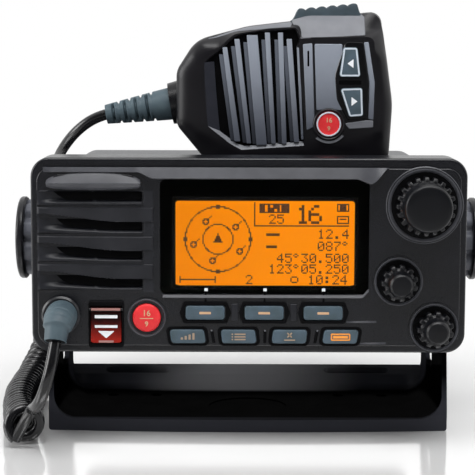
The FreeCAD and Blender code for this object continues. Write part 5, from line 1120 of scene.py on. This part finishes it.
class RADIO_OT_distress(RadioOperator, bpy.types.Operator):
    """Red cover over the alarm key, with its marks"""
    bl_idname = "marine_radio.distress"
    bl_label = "Alarm cover"

    def execute(self, context):
        x, z = -58.95, -29.1 + AXIS
        front = FACE - 2.15
        printed_on = [(0, front), (0, front - 0.1)]

        def tag(b, wide, high):
            return slab(box_outline(x + 0.1, z + b, wide, high, 0.2, 0, 3), printed_on)

        leaf = cushion(box_outline(x, z - 0.9, 12.6, 13.2, 1.0), FACE - 0.75, front, 0.45)
        barrel = lathe([(1.05, -6.1), (1.05, 6.1)], (x, FACE - 1.5, z + 6.35), (1, 0, 0), 20)
        piece("alarm_cover_lid", [leaf, barrel], "red_clear", "alarm_cover", ("distress_cover",))
        upper = slab(box_outline(x, z + 6.6, 12.0, 0.9, 0.2), [(0, FACE - 2.4), (0, FACE - 2.62)])
        piece("alarm_cover_bar", [upper, tag(-6.9, 6.2, 0.9)], "dull_pink", "alarm_cover")
        arrow = slab(rounded([(x - 3.4, z - 2.5), (x + 0.1, z - 5.5), (x + 3.6, z - 2.5)], 0.15, 3),
                     printed_on)
        piece("alarm_cover_marks", [tag(3.5, 9.4, 1.3), tag(-0.6, 9.4, 1.1), arrow], "white_label",
              "alarm_cover")
        return {"FINISHED"}


class RADIO_OT_knobs(RadioOperator, bpy.types.Operator):
    """Rotary knobs with toothed skirts, the rings round them and the clamp knobs at the sides"""
    bl_idname = "marine_radio.knobs"
    bl_label = "Knobs"

    def execute(self, context):
        wells, floors = [], []
        large, small = (12.1, 9.6, 15.0, 20, 1.4), (7.5, 4.9, 12.0, 11, 1.1)
        for word, knob, ring, floor in (("channel", large, (14.6, 1.25), 13.9),
                                        ("volume", small, (9.6, 0.9), 9.0),
                                        ("squelch", small, (9.6, 0.9), 9.0)):
            x, z = KNOBS[word]
            self.rotary(word, *knob)
            wells.append(self.well((x, z), *ring))
            floors.append(hollow_lathe([(4.0, 0.3), (4.0, -0.06), (floor, -0.06), (floor, 0.3)],
                                       (x, FACE, z + AXIS), (0, 1, 0), 72))
        wells.append(self.well(RED_KEY, 7.5, 0.8))
        # the rings round the knobs are in the same paler grey: painted light
        piece("knob_wells", wells, "hump_plastic", "radio", sharp=60)
        # the black rings round the knobs' shafts are painted shade in the wells
        piece("knob_well_floors", floors, "deep_black", "radio")
        for side, word in ((-1, "left"), (1, "right")):
            self.clamp(side, word)
        return {"FINISHED"}

    def rotary(self, word, radius, cap, length, teeth, notch):
        """Cap: a nearly flat end with a rounded edge and a slight draft. Skirt: square teeth whose
        radius is the flared skirt's less a notch, from tanh of a cosine of the angle."""
        tip = FACE - 0.6 - 1.2 - length
        skirt = length - 5.4

        def wave(a):
            return -notch * (0.5 - 0.5 * np.tanh(3.5 * (np.cos(teeth * a) + 0.15)))

        rows = [(0.3, 0.02), (cap * 0.5, 0.05), (cap * 0.8, 0.16), (cap - 0.75, 0.4), (cap - 0.3, 0.75),
                (cap, 1.3), (cap + 0.15, 2.0), (cap + 0.5, skirt - 1.2), (cap + 0.7, skirt - 0.4, 0.2),
                (radius - 0.5, skirt, 0.95), (radius, skirt + 0.5, 1.0), (radius + 0.05, length - 0.6, 1.0),
                (radius - 0.3, length, 0.9), (4.4, length, 0.0)]
        x, z = KNOBS[word]
        shape = lathe(rows, (x, tip, z + AXIS), (0, 1, 0), teeth * 18, wave)
        piece(f"{word}_knob_moulding", shape, "knob_black", f"{word}_turn", (f"{word}_knob",),
              35)

    def well(self, place, radius, wide):
        """A soft ridge in a ring, higher than the face by a little."""
        profile = [(radius - 0.9 * wide, 0.32), (radius - 0.5 * wide, -0.35), (radius, -0.75),
                   (radius + 0.45 * wide, -0.62), (radius + 0.9 * wide, -0.2), (radius + 1.2 * wide, 0.1),
                   (radius + 1.1 * wide, 0.8), (radius - 0.8 * wide, 0.8)]
        return hollow_lathe(profile, (place[0], FACE, place[1] + AXIS), (0, 1, 0), 96)

    def clamp(self, side, word):
        """A grip of nine broad lobes between a plain seat and an outer disc with a dished end."""
        def wave(a):
            return -2.4 * (0.5 + 0.5 * np.cos(9 * a)) ** 3

        grip = [(3.4, 0.0), (13.8, 0.0), (15.2, 0.5, 0.3), (16.8, 1.4, 1.0), (17.1, 5.0, 1.0),
                (17.1, 9.6, 1.0), (16.6, 10.4, 0.9), (15.6, 10.6, 0.3)]
        disc = [(15.0, 10.3), (17.8, 10.5), (18.4, 11.1), (18.4, 12.7), (17.9, 13.5), (17.0, 13.85),
                (14.5, 13.9), (13.6, 13.5), (12.9, 12.9), (4.0, 12.7), (0.4, 12.7)]
        centre = (side * CLAMP_SEAT, 0.0, AXIS)
        piece(f"{word}_knob_grip", lathe(grip, centre, (side, 0, 0), 180, wave), "knob_rubber",
              f"{word}_clamp", (f"{word}_knob",), 40)
        piece(f"{word}_knob_disc", lathe(disc, centre, (side, 0, 0), 96), "clamp_plastic", f"{word}_clamp")


class RADIO_OT_boots(RadioOperator, bpy.types.Operator):
    """Ribbed rubber boots at both ends of the microphone's lead"""
    bl_idname = "marine_radio.boots"
    bl_label = "Rubber boots"

    def execute(self, context):
        self.front()
        self.rear()
        return {"FINISHED"}

    def front(self):
        """A tube along a route that leaves the panel and bends down and forward. Its radius tapers from
        the head to the sleeve, with shallow grooves and a collar where they meet."""
        mouth = np.array(MOUTH)
        path = spline_line([(-77.2, -62.6, 56.1), (-76.9, -69.5, 56.4), (-77.1, -75.0, 55.6),
                            (-77.5, -77.4, 52.6), tuple(mouth)], 90)
        t = np.linspace(0, 1, 90)
        radius = np.interp(t, [0, 0.25, 0.5, 0.66, 0.71, 0.78, 1.0], [6.6, 6.6, 6.5, 5.9, 5.4, 4.9, 4.5])
        radius = radius - 0.3 * np.clip(np.cos(2 * math.pi * t * 11), 0.2, 1) * (t < 0.64)
        radius = radius + 0.5 * np.exp(-((t - 0.71) / 0.025) ** 2)
        piece("front_boot_sleeve", tube(path, radius, 48), "boot_rubber", "radio",
              ("front_boot",), 60)
        way = unit(path[-1] - path[-4])
        # a black ring round the lead at the boot's mouth: painted shade in the opening
        collar = lathe([(3.9, -0.4), (3.9, 0.12), (2.5, 0.12)], mouth, way, 40)
        piece("front_boot_mouth", collar, "deep_black", "radio", sharp=60)

    def rear(self):
        """A taper from the collar to the lead. Grooves stand in turn: one open at the front and behind,
        the next open above and below, so that the rubber can bend."""
        way = np.array([-math.cos(math.radians(9.6)), 0, -math.sin(math.radians(9.6))])
        base = np.array([MIC_X + 0.6, -6.0, MIC_Z + 1.0]) + way * 4.63
        t = np.linspace(0, 1, 260)
        a = angles_round(72)
        radius = (7.1 + (4.2 - 7.1) * t ** 1.1)[:, None] * np.ones(72)
        facing = np.abs(np.cos(a))
        grooves = ((0.018, 1 - facing ** 0.5), (0.02, smooth(0.35, 0.5, facing)))
        for number, place in enumerate((0.27, 0.345, 0.435, 0.52, 0.61, 0.69, 0.78, 0.87)):
            wide, share = grooves[number % 2]
            radius = radius - 1.9 * np.exp(-((t - place) / wide) ** 4)[:, None] * share
        path = base + (29.0 * t)[:, None] * way
        radius[-1] = 2.6
        path[-2:] = path[-3] + way * np.array([[0.05], [0.08]])
        first = np.cross(way, (0.0, 1.0, 0.0))
        ring = np.sin(a)[:, None] * first + np.cos(a)[:, None] * np.array([0.0, -1, 0])
        piece("mic_boot_sleeve", loft(path[:, None, :] + radius[..., None] * ring), "boot_rubber",
              "microphone", ("mic_boot",), 50)


# ---------------------------------------------------------------- microphone
class RADIO_OT_microphone(RadioOperator, bpy.types.Operator):
    """Front shell with its facets, grille, key plate, keys and talk bar"""
    bl_idname = "marine_radio.microphone"
    bl_label = "Microphone"

    outline = [(-0.9, -8.6), (13.2, -25.5), (91.4, -25.5), (92.9, 1.0), (87.4, 40.9), (30, 34.2), (7.6, 28.2),
               (-0.9, 15)]
    radii = [7, 5, 6, 40, 5, 40, 14, 9]
    face = [(10.8, 18.6), (12.4, -9.3), (27, -20.3), (55.6, -19), (57.2, -13.5), (66, -16.2), (86, -10.5),
            (84.2, 29.6), (52.6, 29.2), (50.8, 33.6), (39, 32.9), (24, 30.6)]
    cavity = [(11.2, 16.8), (12.9, -8.8), (22.3, -16.2), (27.3, -19.1), (54.5, -17.2), (54.4, -5.8),
              (51.3, 25.4), (52.4, 28.6), (50.6, 33.0), (39.2, 32.2), (30.7, 31.9), (24.3, 29.7),
              (18.3, 24.4), (11.9, 19.1)]

    def execute(self, context):
        self.shell()
        self.facets()
        self.slats()
        self.key_plate()
        self.keys()
        self.talk_bar()
        return {"FINISHED"}

    def plate(self, corners, radius, depth, back, edge=0.25):
        """A plate with a small bevel whose front's depth may vary over the face."""
        rim = rounded(corners, radius, 5)
        inner = inset(rim, edge)
        at = depth if callable(depth) else (lambda o: np.full(len(o), depth))
        rings = [standing(rim, back), standing(rim, at(rim) + edge), standing(inner, at(inner))]
        return loft(np.array(rings) + MIC_PLACE)

    def shell(self):
        """Rings sampled at one set of angles about the grille: the outline at the seam, then a quarter
        of an ellipse or a straight facet in to the face's edge, the flat face, and the recess."""
        centre = np.array([33.0, 5.0])
        a = np.linspace(-math.pi, math.pi, 360, endpoint=False)
        outer = around(rounded(self.outline, self.radii, 10), centre, a)
        face = around(rounded(self.face, [2, 3, 5, 1.5, 2, 6, 3, 3, 1.2, 2, 8, 6], 5), centre, a)
        hole = around(rounded(self.cavity, 0.6, 3), centre, a)
        limit = 0.99 * np.linalg.norm(face - centre, axis=1) / np.linalg.norm(hole - centre, axis=1)
        hole = centre + (hole - centre) * np.minimum(1, limit)[:, None]
        right = smooth(42, 52, outer[:, 0]) * smooth(22, 30, outer[:, 1]) * (1 - smooth(80, 85, face[:, 0]))
        flat = np.maximum(right, 0.8 * smooth(20, 28, outer[:, 1]) * smooth(8, 16, outer[:, 0]))
        shoulder = -17.5 + 2.5 * right
        rings = [standing(outer, -6.3), standing(outer, -10.0), standing(outer, shoulder + 1.5)]
        for t in np.linspace(0.04, 1, 14):
            bend, rise = 1 - math.cos(t * math.pi / 2), math.sin(t * math.pi / 2)
            share = (bend * (1 - flat) + t * flat)[:, None]
            depth = shoulder + (MIC_FRONT - shoulder) * (rise * (1 - flat) + t * flat)
            rings.append(standing(outer + (face - outer) * share, depth))
        # a band along the top slope in the facets' pale grey: painted light
        chosen = np.nonzero((outer[:, 0] > 12) & (outer[:, 0] < 50) & (outer[:, 1] > 20))[0]
        whole = np.array(rings[5:16])[:, chosen]
        reach = np.linspace(0, 9.999, 11)[:, None] * (0.08 + 0.92 * smooth(10, 40, outer[chosen, 0]))[None, :]
        step, column = reach.astype(int), np.arange(len(chosen))[None, :]
        near, far = whole[step, column], whole[step + 1, column]
        band = near + (far - near) * (reach - step)[..., None] + np.array([MIC_X, -0.07, MIC_Z + 0.03])
        piece("mic_top_facet", skin(band, lambda y: y + 0.25), "mic_facet", "microphone",
              sharp=30)
        rings += [standing(hole, MIC_FRONT), standing(centre + (hole - centre) * 0.995, MIC_FRONT + 0.15),
                  standing(centre + (hole - centre) * 0.985, MIC_FRONT + 1.7)]
        piece("mic_front_moulding", loft(np.array(rings) + MIC_PLACE), "mic_plastic", "microphone",
              ("mic_front_shell",), 32)

    def facets(self):
        """The sloping sides of the grille's recess, and the plate on the shoulder, which leans back 0.62
        for each unit of height. The left side's blue-black and the lower side's and the plate's pale grey
        are painted light and shade on the black moulding."""
        f = MIC_FRONT
        left = (np.array([(11.3, 18.6), (11.6, 5.0), (12.9, -8.7)]),
                np.array([(15.5, 18.9), (16.5, 5.0), (18.0, -10.9)]))
        under = (np.array([(12.9, -8.8), (22.3, -16.2), (27.3, -19.0), (54.3, -17.1)]),
                 np.array([(18.0, -10.9), (25.1, -16.2), (28.6, -17.4), (54.1, -15.2)]))
        for name, (edge, deep), finish in (("left", left, "mic_shade"), ("lower", under, "mic_facet")):
            share = np.linspace(0, 1, 5)[:, None, None]
            flat = edge[None] + (deep - edge)[None] * share
            depth = np.broadcast_to(f - 0.05 + 1.45 * share[..., 0], flat.shape[:2])
            grid = np.stack([flat[..., 0] + MIC_X, depth, flat[..., 1] + MIC_Z], -1)
            piece(f"mic_{name}_facet", skin(grid, f + 1.72), finish, "microphone", sharp=30)
        corners = [(52.4, 28.6), (80.4, 30.1), (80.3, 38.2), (78.2, 40.0), (66.1, 39.6), (56.2, 38.8),
                   (48.6, 36.7)]
        shoulder = self.plate(corners, [0.6, 0.6, 1, 0.8, 3, 3, 0.8],
                              lambda o: f - 0.1 + np.maximum(o[:, 1] - 29.3, 0) * 0.62, -14.0)
        piece("mic_shoulder_facet", shoulder, "mic_facet", "microphone", sharp=30)

    def slats(self):
        """Leaning bars over a black sheet, painted shade between them, each with a lower step at its left."""
        f = MIC_FRONT
        spots = [((19.1, 21.1, 25.0), (24.4, 26.9, -15.4)), ((24.2, 26.4, 28.5), (29.7, 31.6, -16.3)),
                 ((29.5, 34.1, 30.2), (33.9, 38.4, -16.9)), ((37.3, 39.4, 31.3), (40.3, 42.2, -16.4)),
                 ((42.9, 45.0, 31.3), (44.9, 46.9, -16.4)), ((46.6, 48.8, 28.6), (50.1, 52.3, -15.7)),
                 ((51.0, 52.0, 25.0), (53.2, 54.2, -14.5))]
        bars, steps = [], []
        for (a0, a1, top), (b0, b1, low) in spots:
            bars.append(self.plate([(b0, low), (b1, low), (a1, top), (a0, top)], 0.25, f - 0.1, f + 1.7, 0.2))
            if a0 < 50:
                corners = [(b0 - 1.7, low + 0.3), (b0 + 0.3, low + 0.3), (a0 + 0.5, top - 3.0),
                           (a0 - 1.5, top - 3.0)]
                steps.append(self.plate(corners, 0.2, f + 0.8, f + 1.7, 0.15))
        piece("mic_slats", bars, "mic_grey", "microphone", sharp=30)
        piece("mic_slat_steps", steps, "mic_step", "microphone", sharp=30)
        # a black sheet behind the slats: painted shade in the gaps
        slot_shade_sheet = slab(on_mic(inset(rounded(self.cavity, 0.6, 3), 0.5)), [(0, f + 1.75), (0, f + 1.5)])
        piece("mic_slot_shade", slot_shade_sheet, "black_hole", "microphone")

    def key_plate(self):
        """Raised strips left and right of the keys and the glossy zone that the keys sit in."""
        f = MIC_FRONT
        strip = self.plate([(55.5, -10.6), (58.9, -8.8), (57.6, 26.8), (53.6, 26.4)], 0.4, f - 0.45, f + 0.2)
        plate = self.plate([(59.6, -1.8), (71.5, -1.8), (70.5, 26.5), (58.6, 26.5)], 0.5, f - 0.4, f + 0.2)
        right = self.plate([(82.0, -5.5), (84.2, -6.0), (84.6, 9.9), (81.7, 27.4), (79.7, 27.2),
                            (82.3, 10.0)], 0.4, f - 0.45, f + 0.2)
        lip = self.plate([(73.8, -9.9), (84.1, -9.2), (84.2, -6.2), (80.9, -6.1), (71.8, -7.5)], 0.4, f - 0.4,
                         f + 0.2)
        piece("mic_key_plate", [strip, plate, right], "mic_grey", "microphone", sharp=30)
        corners = [(73.0, -6.0), (81.4, -5.6), (82.0, 9.5), (79.6, 27.2), (71.9, 27.5), (67.4, 13.4),
                   (68.3, 2.8)]
        zone = self.plate(corners, [1.2, 1.2, 6, 1.2, 2.0, 9, 7], f - 0.66, f + 0.2)
        piece("mic_key_zone", zone, "gloss_black", "microphone", sharp=30)
        # the port and the slot are black slabs on the face: painted shade of openings
        port = self.plate([(55.6, 16.9), (56.4, 16.9), (56.3, 23.6), (55.5, 23.6)], 0.3, f - 0.5, f - 0.3,
                          0.02)
        slot = self.plate([(69.2, 9.2), (78.8, 9.2), (78.8, 11.0), (69.2, 11.0)], 0.6, f - 0.7, f - 0.5, 0.02)
        piece("mic_sound_port", [port, slot], "black_hole", "microphone")
        # the lip under the keys and the bow under the red key take the facets' pale grey; the bow is a
        # painted highlight on the well's crest
        a = np.radians(np.linspace(-132, -38, 24))
        arc = np.column_stack([np.cos(a), np.sin(a)])
        bow = np.concatenate([8.3 * arc, 7.3 * arc[::-1]]) + np.array(MIC_RED_KEY)
        lower = loft(np.array([standing(bow, f + 0.2), standing(bow, f - 0.35)]) + MIC_PLACE)
        piece("mic_key_lips", [lip, lower], "mic_facet", "microphone", sharp=30)
        x, z = on_mic(MIC_RED_KEY)
        ring = hollow_lathe([(5.75, 0.3), (5.9, -0.7), (6.4, -0.95), (6.9, -0.6), (7.2, 0.3)], (x, f, z),
                            (0, 1, 0), 64)
        piece("mic_red_well", ring, "mic_plastic", "microphone", sharp=60)

    def keys(self):
        """Two keys with a pale rim and an arrow each, and a round red key with a pale ring."""
        f = MIC_FRONT - 1.15
        spots = {"up": ([(69.2, 12.5), (78.5, 12.5), (77.0, 25.1), (70.9, 25.1)], (74.2, 18.2), -1),
                 "down": ([(73.7, -4.7), (79.8, -4.3), (79.3, 7.9), (69.6, 7.6)], (75.7, 2.0), 1)}
        for word, (corners, middle, way) in spots.items():
            rim = on_mic(rounded(corners, 1.1, 6))
            cap = slab(rim, [(0, MIC_FRONT + 3.4), (0, f + 0.3), (0.15, f + 0.08), (0.35, f)])
            piece(f"mic_{word}_key_cap", cap, "key_rubber", f"mic_{word}", (f"mic_{word}_key",),
                  30)
            ring = flat_ring(inset(rim, 0.25), inset(rim, 0.95), f + 0.02, f - 0.12)
            x, z = middle
            corners = [(x - 1.1 * way, z - 1.9 * way), (x + 1.5 * way, z), (x - 1.1 * way, z + 1.9 * way)]
            arrow = slab(on_mic(rounded(corners, 0.1, 3)), [(0, f), (0, f - 0.12)])
            piece(f"mic_{word}_key_rim", ring, "pale_line", f"mic_{word}")
            piece(f"mic_{word}_key_mark", arrow, "white_label", f"mic_{word}")
        x, z = on_mic(MIC_RED_KEY)
        y = MIC_FRONT - 1.0
        spot = (x, y, z)
        cap = lathe([(5.35, 4.0), (5.35, 0.5), (5.2, 0.15), (4.9, 0.0), (4.7, 0.05), (4.4, 0.2), (3.0, 0.1),
                     (0.4, 0.05)], spot, (0, 1, 0))
        piece("mic_red_key_cap", cap, "red_rubber", "mic_call", ("mic_red_key",), 40)
        ring = hollow_lathe([(4.62, 0.1), (4.75, -0.1), (5.15, -0.1), (5.3, 0.12)], spot, (0, 1, 0), 64)
        piece("mic_red_key_ring", ring, "pale_line", "mic_call")
        signs = [numerals("16", 2.9, x, z + 1.6, y - 0.02, 0.1, 0.05),
                 numerals("9", 2.6, x, z - 1.9, y - 0.02, 0.1, 0.05)]
        piece("mic_red_key_figures", signs, "label", "mic_call")

    def talk_bar(self):
        """An outline with six rounded humps along its top: base line plus |sin| humps, faded at the ends."""
        left, right = 48.6, 78.8
        u = np.linspace(0, 1, 120)
        x = right + (left - right) * u
        base = np.interp(x, [left, right], [36.0, 38.9])
        envelope = smooth(0.0, 0.06, u) * (1 - smooth(0.88, 1.0, u))
        hump = 3.6 + 1.2 * np.abs(np.sin(math.pi * np.clip((u - 0.04) / 0.9, 0, 1) * 6)) ** 0.6
        top = np.column_stack([x, base + 0.6 + hump * envelope])
        under = np.column_stack([[left, right], [33.0, 36.0]])
        outline = on_mic(np.concatenate([under, top]))
        levels = [(0.5, -18.3), (0.15, -18.1), (0, -17.6), (0, -7.6), (0.3, -7.05)]
        piece("talk_bar_rubber", slab(outline, levels), "talk_rubber", "talk_bar", ("ptt_bar",),
              35)


# ---------------------------------------------------------------- sidebar
PIECES = (RADIO_OT_stage, RADIO_OT_finishes, RADIO_OT_cords, RADIO_OT_grille, RADIO_OT_display, RADIO_OT_keys,
          RADIO_OT_distress, RADIO_OT_knobs, RADIO_OT_boots, RADIO_OT_microphone)


class RADIO_PT_sidebar(bpy.types.Panel):
    """Lists the radio's pieces and settings"""
    bl_idname = "RADIO_PT_sidebar"
    bl_label = "Marine radio"
    bl_space_type = "VIEW_3D"
    bl_region_type = "UI"
    bl_category = "Marine radio"

    def draw(self, context):
        for operator in PIECES:
            self.layout.operator(operator.bl_idname)
        held = settings()
        for group in (held.colours, held.sizes, held.studio):
            box = self.layout.box()
            for name in group.bl_rna.properties.keys():
                if name not in ("rna_type", "name"):
                    box.prop(group, name)


CLASSES = (RadioColours, RadioSizes, RadioStudio, RadioSettings) + PIECES + (RADIO_PT_sidebar,)


def register():
    for item in CLASSES:
        bpy.utils.register_class(item)
    bpy.types.Scene.marine_radio = bpy.props.PointerProperty(
        type=RadioSettings, name="Marine radio", description="Settings of the marine radio")


def unregister():
    del bpy.types.Scene.marine_radio
    for item in reversed(CLASSES):
        bpy.utils.unregister_class(item)


def main():
    register()
    bpy.ops.marine_radio.stage()
    bpy.ops.marine_radio.finishes()
    bpy.ops.marine_radio.cords()
    bpy.ops.marine_radio.grille()
    bpy.ops.marine_radio.display()
    bpy.ops.marine_radio.keys()
    bpy.ops.marine_radio.distress()
    bpy.ops.marine_radio.knobs()
    bpy.ops.marine_radio.boots()
    bpy.ops.marine_radio.microphone()


if __name__ == "__main__":
    main()
